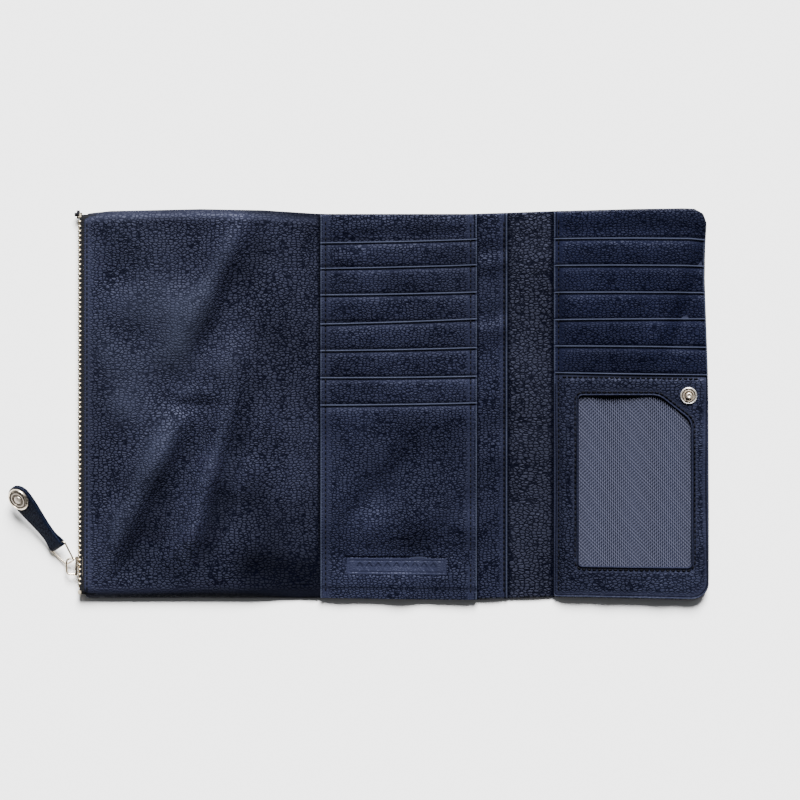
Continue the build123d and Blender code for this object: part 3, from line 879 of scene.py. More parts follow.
def linings():
    """The cloth linings, just inside the leather they line."""
    edge = 6.5
    ys = lines(-HALF + edge, HALF - edge, 5.0)
    low, high = node_box("pouch_front_lining")
    xs = lines(low[0], high[0] - 4, 5.0)
    front = panel("pouch_front_cloth", xs, ys, lambda x, y: pouch_under(x, y) - 0.05,
                  lambda x, y: pouch_under(x, y) - 0.4, LINING)
    dress(front, "pouch", "lining", "pouch_front_lining")
    back = panel("pouch_back_cloth", xs, ys, level(LEATHER + 0.4), level(LEATHER + 0.02), LINING)
    cut_hole(back, SOCKET[0], SOCKET[1], 5.8)
    dress(back, "pouch", "lining", "pouch_back_lining")
    for name, node, body in (("centre_cloth", "centre_lining", "centre_panel"),
                             ("flap_cloth", "flap_lining", "flap")):
        low, high = node_box(node)
        ys_full = lines(low[1] + 1, high[1] - 1, 9.0, 0.3, 0.3)
        corners = (0, 8, 8, 0) if body == "flap" else (0, 0, 0, 0)
        left = max(low[0], FOLD_A + 6) if body == "centre_panel" else low[0] + 4
        right = min(high[0], SPINE_C - 4) if body == "centre_panel" else high[0]
        xs_full = lines(left, right, 9.0, 0.3, 0.3)
        sheet = panel(name, xs_full, ys_full, level(high[2]), level(low[2] + 0.02), LINING,
                      (0.3, 0.3, 0.3, 0.3), corners)
        dress(sheet, body, "lining", node)


def slot_curve(x0, x1, left_up, right_up, sag):
    """How far a slot's free edge stands above its nominal line, across the panel."""
    def curve(x):
        u = (x - x0) / (x1 - x0)
        return left_up + (right_up - left_up) * u - sag * 4 * u * (1 - u)
    return curve


def card_strip(name, x0, x1, corner, bottom_y, edges, stitches, thickness=SLOT_LEATHER,
               extra_x=(), extra_y=(), press=None, calm=None):
    """One slot's leather face on the card panel, from its free top edge down to bottom_y. edges
    says how far the free edge's two ends stand above its nominal line."""

    def top(x, y):
        height = corner[2] - 0.3 - SLOT_DROP * ease_line(corner[1] - y) + pillow(corner[1] - y)
        height = height + pinch(x, stitches) + panel_relief(x, y, 20, CENTRE_FOLDS)
        return height if press is None else height - press(x, y)

    def low(x, y):
        return top(x, y) - thickness

    xs = lines(x0, x1, 2.2, 0.4, 0.4, beside(stitches) + list(extra_x), "low high")
    ys = lines(bottom_y, corner[1], 2.2, 0, 0.42, extra_y, "high")
    # The strip gets painted highlights on its rims and a painted shade just above the next slot's
    # edge.
    strip = panel(name, xs, ys, top, low, NAVY_PANEL, (0.4, 0.4, 0.0, 0.42),
                  curve=slot_curve(x0, x1, *edges, 0.3), band=SLOT_BAND,
                  turned=("left", "right", "top"), seams=stitches, calm=calm,
                  shade=lambda x, y: 0.8 * hump(y, bottom_y + SLOT_TUCK + 0.6, 0.9))
    return strip, top


# How far each slot's free edge stands above its nominal line, at its left and right ends.
CENTRE_EDGES = ((-1.2, 1.2), (-1.2, 1.2), (-0.8, 1.0), (-1.6, 1.6), (-0.9, 1.0), (-0.4, 0.5),
                (-0.7, 0.7))
FLAP_EDGES = ((0.6, -0.8), (0.3, -0.3), (0.2, 0.0), (0.0, 0.5), (0.5, -0.4))


def centre_cards():
    """The card panel: header, six slots and the big front pocket with its pressed plate."""
    x0, x1 = CARD_LOW[0], CARD_HIGH[0]
    stitches = (CENTRE_STITCH_LEFT, CENTRE_STITCH_RIGHT)
    surfaces = []

    def header_top(x, y):
        high = CENTRE_SLOT_TOPS[0][2] - 0.95
        slope = high - 0.6 * ease(CENTRE_SLOT_TOPS[0][1], HALF, y)
        return slope + pinch(x, stitches) + panel_relief(x, y, 20, CENTRE_FOLDS)

    first_y = CENTRE_SLOT_TOPS[0][1]
    xs = lines(x0, x1, 2.4, 0.4, 0.4, beside(stitches), "low high")
    ys = lines(first_y - 7.5, HALF - 0.6, 1.8, 0, 1.6)
    # The header gets painted highlights on its side rims and a painted shade just above the first
    # slot's edge.
    header = panel("card_header_leather", xs, ys, header_top, level(CARD_HIGH[2]),
                   NAVY_PANEL, (0.4, 0.4, 0, 1.6), flat_back=True, turned=("left", "right"),
                   seams=stitches, shade=lambda x, y: 0.8 * hump(y, first_y + 0.6, 0.9))
    dress(header, "centre_panel", "leather", "centre_slot_header")
    surfaces.append((first_y, HALF, header_top))
    for number, corner in enumerate(CENTRE_SLOT_TOPS):
        below = CENTRE_SLOT_TOPS[number + 1] if number < 5 else POCKET_TOP
        strip, top = card_strip(f"centre_slot_leather_{number + 1}", x0, x1, corner,
                                below[1] - SLOT_TUCK, CENTRE_EDGES[number], stitches)
        dress(strip, "centre_panel", "leather", f"centre_slot_{number + 1}")
        surfaces.append((below[1], corner[1], top))
    plate_left, plate_right, plate_bottom, plate_top = x0 + 15.0, x0 + 78.0, -104.8, -92.8

    def past(edge, value):
        """0 before an edge and 1 after it, with a narrow slope between."""
        return ease(edge - PLATE_SLOPE, edge + PLATE_SLOPE, value)

    def within(x, y, inset):
        """1 inside the plate's rectangle less an inset, and 0 outside it."""
        across = past(plate_left + inset, x) * past(-plate_right + inset, -x)
        return across * past(plate_bottom + inset, y) * past(-plate_top + inset, -y)

    def press(x, y):
        """How deep the plate is pressed: two border lines round a slightly sunk middle, and a row
        of lozenges along it."""
        border = within(x, y, 0.0) - within(x, y, 1.1)
        second = within(x, y, 2.2) - within(x, y, 2.9)
        marks = 0.0 * x
        for k in range(-4, 5):
            middle = (plate_left + plate_right) / 2 + k * LOZENGE_PITCH
            lozenge = np.abs(x - middle) / 2.1 + np.abs(y - (plate_bottom + plate_top) / 2) / 2.6
            marks = marks + 0.5 * ease(1.1, 0.8, lozenge)
        return 0.62 * border + 0.2 * within(x, y, 1.1) + 0.25 * second + marks

    fine_y = list(np.arange(plate_bottom - 0.6, plate_top + 0.7, 0.35))
    fine_x = list(np.arange(plate_left - 0.6, plate_right + 0.7, 0.4))
    pocket, top = card_strip(
        "front_pocket_leather", x0, x1, POCKET_TOP, -HALF + 0.4, CENTRE_EDGES[6], stitches,
        thickness=1.1, extra_x=fine_x, extra_y=fine_y, press=press,
        calm=lambda x, y: within(x, y, 1.1),
    )
    dress(pocket, "centre_panel", "leather", "centre_front_pocket", "centre_card_base")
    surfaces.append((-HALF, POCKET_TOP[1], top))
    return surfaces


def note_pocket():
    """The plain leather of the note pocket, which shows to the right of the card panel."""
    x0 = CARD_HIGH[0] - 9
    x1 = NOTE_HIGH[0] + 0.6
    edge = 0.5

    def top(x, y):
        height = NOTE_HIGH[2] + 0.35 + 0.5 * np.sin(np.clip((x - x0) / (x1 - x0), 0, 1) * math.pi)
        return height + pinch(x, (NOTE_STITCH,)) + panel_relief(x, y, 41, NOTE_FOLDS)

    xs = lines(x0, x1, 1.8, 0, edge, beside((NOTE_STITCH,)), "high")
    ys = lines(-HALF + 0.3, HALF - 0.4, 2.2, 1.2, 1.8)
    # The note pocket gets a painted highlight on its right rim and a painted shade beside the card
    # panel's edge.
    sheet = panel("note_pocket_leather", xs, ys, top, level(NOTE_LOW[2]), NAVY_PANEL,
                  (0, edge, 1.2, 1.8), flat_back=True, turned=("right",), seams=(NOTE_STITCH,),
                  shade=lambda x, y: 0.9 * hump(x, CARD_HIGH[0] + 0.3, 1.1))
    dress(sheet, "centre_panel", "leather", "note_pocket_panel")
    return top


def spine_leather():
    """The recessed leather inside the spine, in two lengths that meet at its middle."""
    thin = node_box("spine_lining")[1][2]

    def top(x, y):
        valley = 0.35 * np.cos((x - SPINE_MIDDLE) / (SPINE_D - SPINE_C) * math.pi) ** 2
        fan = waves(x, y, 51, 9, 26, 0.12)
        tuck = -0.45 * ease(2.5, 0.0, np.minimum(x - NOTE_HIGH[0], FLAP_LEFT - x))
        return thin - 0.1 + valley + fan + tuck

    ys = lines(-HALF + 0.2, HALF - 0.2, 2.6, 1.6, 1.6)
    under = level(LEATHER + 0.05)

    # Painted shade along both sides of the spine, where its leather runs in under the note pocket
    # and the flap.
    def shade(x, y):
        return 0.9 * hump(x, NOTE_HIGH[0] + 0.8, 1.5) + 0.9 * hump(x, FLAP_LEFT - 0.4, 1.6)

    left = panel("spine_leather_left", lines(NOTE_HIGH[0] - 1.4, SPINE_MIDDLE, 1.3), ys, top, under,
                 NAVY_SPINE, (0, 0, 1.6, 1.6), flat_back=True, shade=shade)
    bend(left, "centre_panel", "spine", SPINE_C, 3.6, "leather", "spine_lining")
    right = panel("spine_leather_right", lines(SPINE_MIDDLE, FLAP_LEFT + 1.6, 1.3), ys, top, under,
                  NAVY_SPINE, (0, 0, 1.6, 1.6), flat_back=True, shade=shade)
    bend(right, "spine", "flap", SPINE_D, 3.6, "leather")


def flap_taper(x, height):
    """Thins the flap's panel towards the spine, so that it clears the fold."""
    low = LEATHER + 1.75
    return low + (height - low) * ease(FLAP_LEFT - 0.5, FLAP_LEFT + 7.5, x)


def flap_cards():
    """The flap's header and five slots."""
    x0, x1 = FLAP_LEFT, FLAP_RIGHT
    stitches = (FLAP_STITCH_LEFT,)
    surfaces = []
    first = FLAP_SLOT_TOPS[0]

    def header_top(x, y):
        high = first[2] - 0.95
        slope = high - 0.6 * ease(first[1], HALF, y)
        return flap_taper(x, slope + pinch(x, stitches) + panel_relief(x, y, 61, FLAP_FOLDS))

    xs = lines(x0, x1, 2.2, 0.5, 0.5, beside(stitches), "low high")
    ys = lines(first[1] - 7.5, HALF - 0.6, 1.6, 0, 1.6)
    # The header gets a painted highlight on its left rim and a painted shade just above the first
    # slot's edge.
    header = panel("flap_header_leather", xs, ys, header_top, level(1.65),
                   NAVY_FLAP, (0.5, 0.5, 0, 1.6), (0, 0, 8.0, 0), flat_back=True, turned=("left",),
                   seams=stitches, shade=lambda x, y: 0.8 * hump(y, first[1] + 0.6, 0.9))
    dress(header, "flap", "leather", "flap_slot_header")
    surfaces.append((first[1], HALF, header_top))
    for number, corner in enumerate(FLAP_SLOT_TOPS):
        below_y = FLAP_SLOT_TOPS[number + 1][1] if number < 4 else FRAME_TOP[1]

        def top(x, y, corner=corner):
            height = corner[2] - 0.3 - SLOT_DROP * ease_line(corner[1] - y)
            height = height + pillow(corner[1] - y) + pinch(x, stitches)
            height = height + panel_relief(x, y, 61, FLAP_FOLDS)
            return flap_taper(x, height)

        def low(x, y):
            return top(x, y) - SLOT_LEATHER * (0.5 + 0.5 * ease(x0, x0 + 7, x))

        ys = lines(below_y - SLOT_TUCK, corner[1], 2.2, 0, 0.42, turned="high")
        # Each strip gets painted highlights on its rims and a painted shade just above the next
        # slot's or the frame's edge.
        strip = panel(f"flap_slot_leather_{number + 1}", xs, ys, top, low, NAVY_FLAP,
                      (0.4, 0.5, 0, 0.42), curve=slot_curve(x0, x1, *FLAP_EDGES[number], -0.2),
                      band=SLOT_BAND, seams=stitches, turned=("left", "right", "top"),
                      shade=lambda x, y: 0.8 * hump(y, below_y + 0.6, 0.9))
        dress(strip, "flap", "leather", f"flap_slot_{number + 1}")
        surfaces.append((below_y, corner[1], top))
    return surfaces


def flap_board():
    """The padded board under the flap's cards: its edge shows on the outer sides."""
    low, high = node_box("flap_card_base")
    inset = 0.8

    def top(x, y):
        return flap_taper(x, high[2] + 0 * x) - 0.5

    xs = lines(FLAP_LEFT + 1.5, high[0] - inset, 4.0, 0.6, 0.8)
    ys = lines(low[1] + 0.6, high[1] - 0.6, 6.0, 0.8, 0.8)
    board = panel("flap_board", xs, ys, top, level(low[2] + 0.02), LINING,
                  (0.6, 0.8, 0.8, 0.8), (0, 8, 8, 0), flat_back=True)
    dress(board, "flap", "lining", "flap_card_base")


# --- The window frame and its mesh ---------------------------------------------------------

MESH_LOW, MESH_HIGH = node_box("id_window_mesh")
WINDOW_LAP = 3.5
WINDOW_LEFT = MESH_LOW[0] + WINDOW_LAP
WINDOW_RIGHT = MESH_HIGH[0] - WINDOW_LAP
WINDOW_BOTTOM = MESH_LOW[1] + WINDOW_LAP
WINDOW_TOP = MESH_HIGH[1] - WINDOW_LAP
WINDOW_CUT = (WINDOW_RIGHT - 19.1, WINDOW_TOP - 15.4)


def rounded_outline(corners, step):
    """Evenly spaced points round a closed outline of (x, y, corner radius)."""
    count = len(corners)
    path = []
    for k in range(count):
        x, y, radius = corners[k]
        here = np.array([x, y])
        before = np.array(corners[k - 1][:2]) - here
        after = np.array(corners[(k + 1) % count][:2]) - here
        a = before / np.linalg.norm(before)
        b = after / np.linalg.norm(after)
        half = math.acos(np.clip(a @ b, -1, 1)) / 2
        back = radius / math.tan(half)
        start = here + a * back
        end = here + b * back
        centre = here + (a + b) / np.linalg.norm(a + b) * radius / math.sin(half)
        for t in np.linspace(0, 1, 9):
            point = start * (1 - t) ** 2 + here * 2 * t * (1 - t) + end * t**2
            away = point - centre
            path.append(centre + away / np.linalg.norm(away) * radius)
    path = np.array(path)
    closed = np.vstack([path, path[:1]])
    lengths = np.concatenate([[0], np.cumsum(np.linalg.norm(np.diff(closed, axis=0), axis=1))])
    places = np.linspace(0, lengths[-1], int(lengths[-1] / step), endpoint=False)
    return np.stack([np.interp(places, lengths, closed[:, i]) for i in (0, 1)], -1)


def window_outline(grow, step=1.6):
    """The window's outline, moved outwards by grow, anticlockwise from the bottom left."""
    cut_x, cut_y = WINDOW_CUT
    part = grow * 0.42
    radius = 2.6 + grow
    return rounded_outline((
        (WINDOW_LEFT - grow, WINDOW_BOTTOM - grow, radius),
        (WINDOW_RIGHT + grow, WINDOW_BOTTOM - grow, radius),
        (WINDOW_RIGHT + grow, cut_y + part, 10.0),
        (cut_x + part, WINDOW_TOP + grow, 12.0),
        (WINDOW_LEFT - grow, WINDOW_TOP + grow, radius),
    ), step)


def ray_out(outline, centre, angle):
    """Where a ray from the centre meets a closed outline."""
    direction = np.array([math.cos(angle), math.sin(angle)])
    normal = np.array([-direction[1], direction[0]])
    offset = outline - centre
    side = offset @ normal
    after = np.roll(side, -1)
    best = 0.0
    for k in np.nonzero((side <= 0) != (after <= 0))[0]:
        t = side[k] / (side[k] - after[k])
        point = offset[k] * (1 - t) + np.roll(offset, -1, 0)[k] * t
        best = max(best, point @ direction)
    return centre + direction * best


def frame_height(x, y):
    """The window frame's face: highest at its top edge, then level."""
    low = FRAME_LOW_Z + 1.4
    high = FRAME_TOP[2]
    slope = low + (high - low) * ease(FRAME_TOP[1] - SLOT_LENGTH, FRAME_TOP[1], y)
    groove = 0.3 * np.exp(-((FRAME_TOP[1] - 2.9 - y) / 0.8) ** 2)
    seat = ease(7.5, 5.2, np.hypot(x - SNAP[0], y - SNAP[1]))
    height = slope - groove + pinch(x, (FLAP_STITCH_LEFT,)) + panel_relief(x, y, 61, FLAP_FOLDS)
    height = flap_taper(x, height)
    return height + (SNAP_LOW[2] + 0.02 - height) * seat


def window_frame():
    """The leather frame round the window, built in rings from the window out to its edge."""
    inner = window_outline(0.0, 0.8)
    y_high = FRAME_TOP[1]
    outer = rounded_outline((
        (FLAP_LEFT, -HALF + 0.5, 0.6),
        (FLAP_RIGHT, -HALF + 0.5, 8.4),
        (FLAP_RIGHT, y_high, 0.6),
        (FLAP_LEFT, y_high, 0.6),
    ), 0.8)
    centre = np.array([(WINDOW_LEFT + WINDOW_RIGHT) / 2, (WINDOW_BOTTOM + WINDOW_TOP) / 2])
    around = 560
    edge = 0.5
    steps = [0, 0.06, 0.25, 0.6, 1.0, 1.4, 1.9, 2.4, 2.9, 3.4, 4.0, 4.8, 5.6]
    rings = []
    for k in range(around):
        angle = 2 * math.pi * k / around
        start = ray_out(inner, centre, angle)
        end = ray_out(outer, centre, angle)
        run = np.linalg.norm(end - start)
        near = [s * edge / run for s in steps]
        middle = list(np.linspace(near[-1], 1 - near[-1], 8))[1:-1]
        shares = near + middle + [1 - s for s in reversed(near)]
        rings.append([(start * (1 - s) + end * s, min(s, 1 - s) * run) for s in shares])
    across = len(rings[0])
    flat = np.array([[point for point, _ in ring] for ring in rings])
    depth = np.array([[distance for _, distance in ring] for ring in rings])
    x, y = flat[..., 0], flat[..., 1]
    tilt = (x - FLAP_LEFT) / (FLAP_RIGHT - FLAP_LEFT)
    y = y + (0.6 - 1.4 * tilt) * ease(y_high - 12, y_high, y)
    share = 0.12 + 0.88 * roll(depth, edge)
    high = frame_height(x, y) + turned_edge(depth)
    low = high - 1.4
    middle = (high + low) / 2
    wx, wy = warp(x, y)
    upper = np.stack([wx, wy, middle + (high - middle) * share], -1).reshape(-1, 3)
    lower = np.stack([wx, wy, middle + (low - middle) * share], -1).reshape(-1, 3)
    count = around * across
    faces = []
    for i in range(around):
        j = (i + 1) % around
        for k in range(across - 1):
            a, b = i * across + k, i * across + k + 1
            c, d = j * across + k + 1, j * across + k
            faces.append((a, b, c, d))
            faces.append((a + count, d + count, c + count, b + count))
        first, second = i * across, j * across
        faces.append((first, second, second + count, first + count))
        first, second = i * across + across - 1, j * across + across - 1
        faces.append((first, first + count, second + count, second))
    grain = ease(2.2, 4.5, y_high - y).ravel() * (0.35 + 0.65 * ease(2.6, 5.0, depth).ravel())
    worn = (1 - roll(depth, edge)).ravel()
    # Painted highlight on the frame's outer rim, strongest along its top edge, and painted shade in
    # the grooves beside its rims.
    outside = np.arange(across)[None, :] >= across // 2
    lit = np.where(outside, 0.3 + 0.7 * ease(y_high - 1.5, y_high - 0.4, y), 0.0)
    shine = (lit * hump(depth, 0.5, 0.55) - 0.9 * hump(depth, 1.6, 0.4)).ravel()
    floats = {"grain": np.concatenate([grain * (1 - 0.7 * np.clip(shine, 0, 1)), np.ones(count)]),
              "worn": np.concatenate([worn, worn]), "rim": np.concatenate([shine, 0 * shine])}
    obj = make_object("window_frame_leather", np.concatenate([upper, lower]), faces, NAVY_FRAME,
                      floats=floats)
    face_outwards(obj)
    dress(obj, "flap", "leather", "id_window_frame")


def inside_outline(outline, x, y):
    """Whether a point lies inside a closed outline."""
    ax, ay = outline[:, 0], outline[:, 1]
    bx, by = np.roll(ax, -1), np.roll(ay, -1)
    crosses = (ay > y) != (by > y)
    where = ax + (y - ay) / np.where(by == ay, 1e-9, by - ay) * (bx - ax)
    return np.count_nonzero(crosses & (x < where)) % 2 == 1


def mesh_height(x, y):
    """The mesh lies against the frame's underside."""
    rise = ease(FRAME_TOP[1] - SLOT_LENGTH, FRAME_TOP[1], y)
    slope = FRAME_LOW_Z + 1.4 + (FRAME_TOP[2] - 0.3 - FRAME_LOW_Z - 1.4) * rise
    return float(flap_taper(x, slope)) - 1.7


def window_mesh():
    """The window's knitted mesh: upright threads that zigzag, so that each meets its two
    neighbours in turn and leaves staggered holes."""
    pitch = 1.24
    row = 1.14
    swing = 0.28
    outline = window_outline(2.0)
    parts = []
    for i, x in enumerate(np.arange(WINDOW_LEFT - 1.6, WINDOW_RIGHT + 1.6, pitch)):
        path = []
        for j, y in enumerate(np.arange(WINDOW_BOTTOM - 1.6, WINDOW_TOP + 1.6, row)):
            side = x + swing * (1 if (i + j) % 2 else -1)
            if inside_outline(outline, side, y):
                path.append((side, y, mesh_height(side, y) + 0.06 * (1 if j % 2 else -1)))
        if len(path) > 2:
            parts.append(tube(path, 0.32, 5))
    points, faces = join_meshes(parts)
    mesh = make_object("window_mesh_threads", points, faces, MESH_THREAD)
    dress(mesh, "flap", "window_mesh", "id_window_mesh")
    ys = lines(WINDOW_BOTTOM - 3, WINDOW_TOP + 3, 6.0)
    xs = lines(WINDOW_LEFT - 3, WINDOW_RIGHT + 3, 6.0)
    back = panel("window_backing", xs, ys, level(FLAP_BASE_TOP + 0.1), level(FLAP_BASE_TOP - 0.3),
                 LINING)
    dress(back, "flap", "lining")


# --- Stitches ------------------------------------------------------------------------------

STITCH_PITCH = 3.2
STITCH_LENGTH = 2.1
STITCH_RADIUS = 0.44


def stitches(name, path, body):
    """A row of stitches along a path of (x, y, z) points, each a short rounded thread."""
    path = np.asarray(path, float)
    gaps = np.linalg.norm(np.diff(path, axis=0), axis=1)
    reach = np.concatenate([[0], np.cumsum(gaps)])
    count = int(reach[-1] / STITCH_PITCH)
    parts = []
    for k in range(count):
        start = (k + 0.5) * STITCH_PITCH - STITCH_LENGTH / 2
        places = start + STITCH_LENGTH * np.array([0.0, 0.1, 0.3, 0.5, 0.7, 0.9, 1.0])
        line = np.stack([np.interp(places, reach, path[:, i]) for i in range(3)], -1)
        line[:, 2] += STITCH_RADIUS * np.array([-1.0, -0.45, 0.15, 0.3, 0.15, -0.45, -1.0])
        parts.append(tube(line, STITCH_RADIUS))
    points, faces = join_meshes(parts)
    row = make_object(name, points, faces, STITCH)
    dress(row, body, "leather")


def surface_path(xs, ys, height):
    """Points along a line on a surface, moved with the wallet's outline."""
    x = np.asarray(xs, float)
    y = np.asarray(ys, float)
    z = height(x, y)
    wx, wy = warp(x, y)
    return np.stack([wx, wy, z], -1)


def stacked_height(surfaces):
    """The height of the top sheet where several overlap like shingles."""
    def height(x, y):
        z = np.zeros_like(x)
        for low, high, top in surfaces:
            z = np.where((y >= low) & (y <= high), top(x, y), z)
        return z
    return height


def all_stitches(centre_surfaces, flap_surfaces, note_top):
    ys = np.arange(-HALF + 4, HALF - 3.5, 0.5)
    stitches("pouch_stitches", surface_path(0 * ys + POUCH_STITCH, ys, pouch_top), "pouch")
    height = stacked_height(centre_surfaces)
    for name, x in (("left", CENTRE_STITCH_LEFT), ("right", CENTRE_STITCH_RIGHT)):
        path = surface_path(0 * ys + x, ys, height)
        stitches(f"card_stitches_{name}", path, "centre_panel")
    stitches("note_stitches", surface_path(0 * ys + NOTE_STITCH, ys, note_top), "centre_panel")
    surfaces = flap_surfaces + [(-HALF, FRAME_TOP[1], frame_height)]
    height = stacked_height(surfaces)
    stitches("flap_stitches_left", surface_path(0 * ys + FLAP_STITCH_LEFT, ys, height), "flap")
    xs = np.arange(FLAP_STITCH_LEFT + 2, FLAP_RIGHT - 3, 0.5)
    tilt = (xs - FLAP_LEFT) / (FLAP_RIGHT - FLAP_LEFT)
    row = FRAME_TOP[1] - 2.9 + 0.6 - 1.4 * tilt
    stitches("window_top_stitches", surface_path(xs, row, frame_height), "flap")
    around = window_outline(2.1, 0.5)
    around = np.vstack([around, around[:1]])
    stitches("window_stitches", surface_path(around[:, 0], around[:, 1], frame_height), "flap")


# --- Zip, slider, pull and snap ------------------------------------------------------------

def box_part(low, high, bevel):
    """A small block with bevelled edges, as points and faces."""
    work = bmesh.new()
    bmesh.ops.create_cube(work, size=1.0)
    size = np.array(high) - np.array(low)
    middle = (np.array(high) + np.array(low)) / 2
    for vertex in work.verts:
        vertex.co = Vector(np.array(vertex.co) * size + middle)
    bmesh.ops.bevel(work, geom=list(work.edges), offset=bevel, segments=2, affect="EDGES")
    points = [tuple(v.co) for v in work.verts]
    faces = [tuple(v.index for v in f.verts) for f in work.faces]
    work.free()
    return np.array(points), faces


def zip_parts():
    """Teeth in two staggered rows, with woven tapes behind them and the end stops."""
    low, high = node_box("zip_teeth_lower")
    upper_low, upper_high = node_box("zip_teeth_upper")
    pitch = 2.9
    count = int(round((high[1] - low[1] - 1.9) / pitch)) + 1
    reach = 0.14
    for name, z0, z1, shift, node in (
        ("zip_teeth_row_lower", low[2], high[2] + reach, -pitch / 4, "zip_teeth_lower"),
        ("zip_teeth_row_upper", upper_low[2] - reach, upper_high[2], pitch / 4, "zip_teeth_upper"),
    ):
        parts = []
        for k in range(count):
            y = low[1] + 0.95 + k * pitch + shift
            parts.append(box_part((low[0], y - 0.85, z0), (high[0], y + 0.85, z1), 0.32))
        points, faces = join_meshes(parts)
        row = make_object(name, points, faces, BRASS)
        dress(row, "pouch", "zip_teeth", node)
    for name, node, sign in (("zip_tape_cloth_lower", "zip_tape_lower", 1),
                             ("zip_tape_cloth_upper", "zip_tape_upper", -1)):
        tape_low, tape_high = node_box(node)
        web_x = tape_low[0] + 0.3
        under_front = float(pouch_under(POUCH_EDGE + 4, 0.0))
        seam_z = tape_low[2] + 0.2 if sign > 0 else under_front - 0.25
        edge_z = low[2] if sign > 0 else upper_high[2]
        section = [(tape_high[0], seam_z), (web_x + 2.6, seam_z),
                   (web_x + 1.1, seam_z + 0.05 * sign), (web_x + 0.35, seam_z + 0.3 * sign),
                   (web_x, edge_z + 0.05 * sign)]
        ys = np.linspace(tape_low[1] + 1.0, tape_high[1] - 1.5, 90)
        points, faces = ribbon(section, ys, 0.36)
        tape = make_object(name, points, faces, TAPE)
        face_outwards(tape)
        dress(tape, "pouch", "zip_tape", node)
    end = box_part((low[0] - 2.2, HALF - 5.7, low[2] - 0.1),
                   (low[0] + 2.4, HALF - 0.7, upper_high[2] + 0.1), 1.4)
    tab = make_object("zip_tape_end", end[0], end[1], TAPE)
    dress(tab, "pouch", "zip_tape")
    for node in ("zip_top_stops", "zip_bottom_stop"):
        stop = softened(node, 0.3, BRASS)
        dress(stop, "pouch", "zip_teeth")


def ribbon(section, ys, thickness):
    """A cloth strip: an open section of (x, z) points carried along Y."""
    line = np.array(section)
    ahead = directions(line)
    side = np.stack([-ahead[:, 1], ahead[:, 0]], -1) * thickness / 2
    ring = np.concatenate([line + side, (line - side)[::-1]])
    points = np.array([[x, y, z] for y in ys for x, z in ring])
    size = len(ring)
    faces = tube_faces(len(ys), size)
    half = size // 2
    for start in (0, (len(ys) - 1) * size):
        for k in range(half - 1):
            faces.append((start + k, start + k + 1, start + size - 2 - k, start + size - 1 - k))
    return points, faces


def pull_matrix():
    """The pull's own frame: X along it from the slider, Z out of its disc's face."""
    pivot = np.array(JOINTS["link_swing"]["pos_m"]) / MM
    far = np.array(JOINTS["tab_swing"]["pos_m"]) / MM
    along = far - pivot
    length = np.linalg.norm(along)
    along /= length
    bar = np.array(JOINTS["tab_swing"]["axis"], float)
    bar /= np.linalg.norm(bar)
    face = np.cross(bar, along)
    matrix = np.eye(4)
    matrix[:3, 0] = along
    matrix[:3, 1] = -bar
    matrix[:3, 2] = face
    matrix[:3, 3] = pivot
    return matrix, length


def strap_half(x, start, tip):
    """Half the strap's width at a distance along it."""
    radius = 8.0
    disc = tip - radius
    waist = 5.7 - 0.9 * ease(start, start + 8, x) + (radius - 4.8) * ease(start + 8, disc - 1, x)
    round_end = np.sqrt(np.clip(radius**2 - np.clip(x - disc, 0, radius) ** 2, 0, None))
    return np.minimum(waist, round_end)


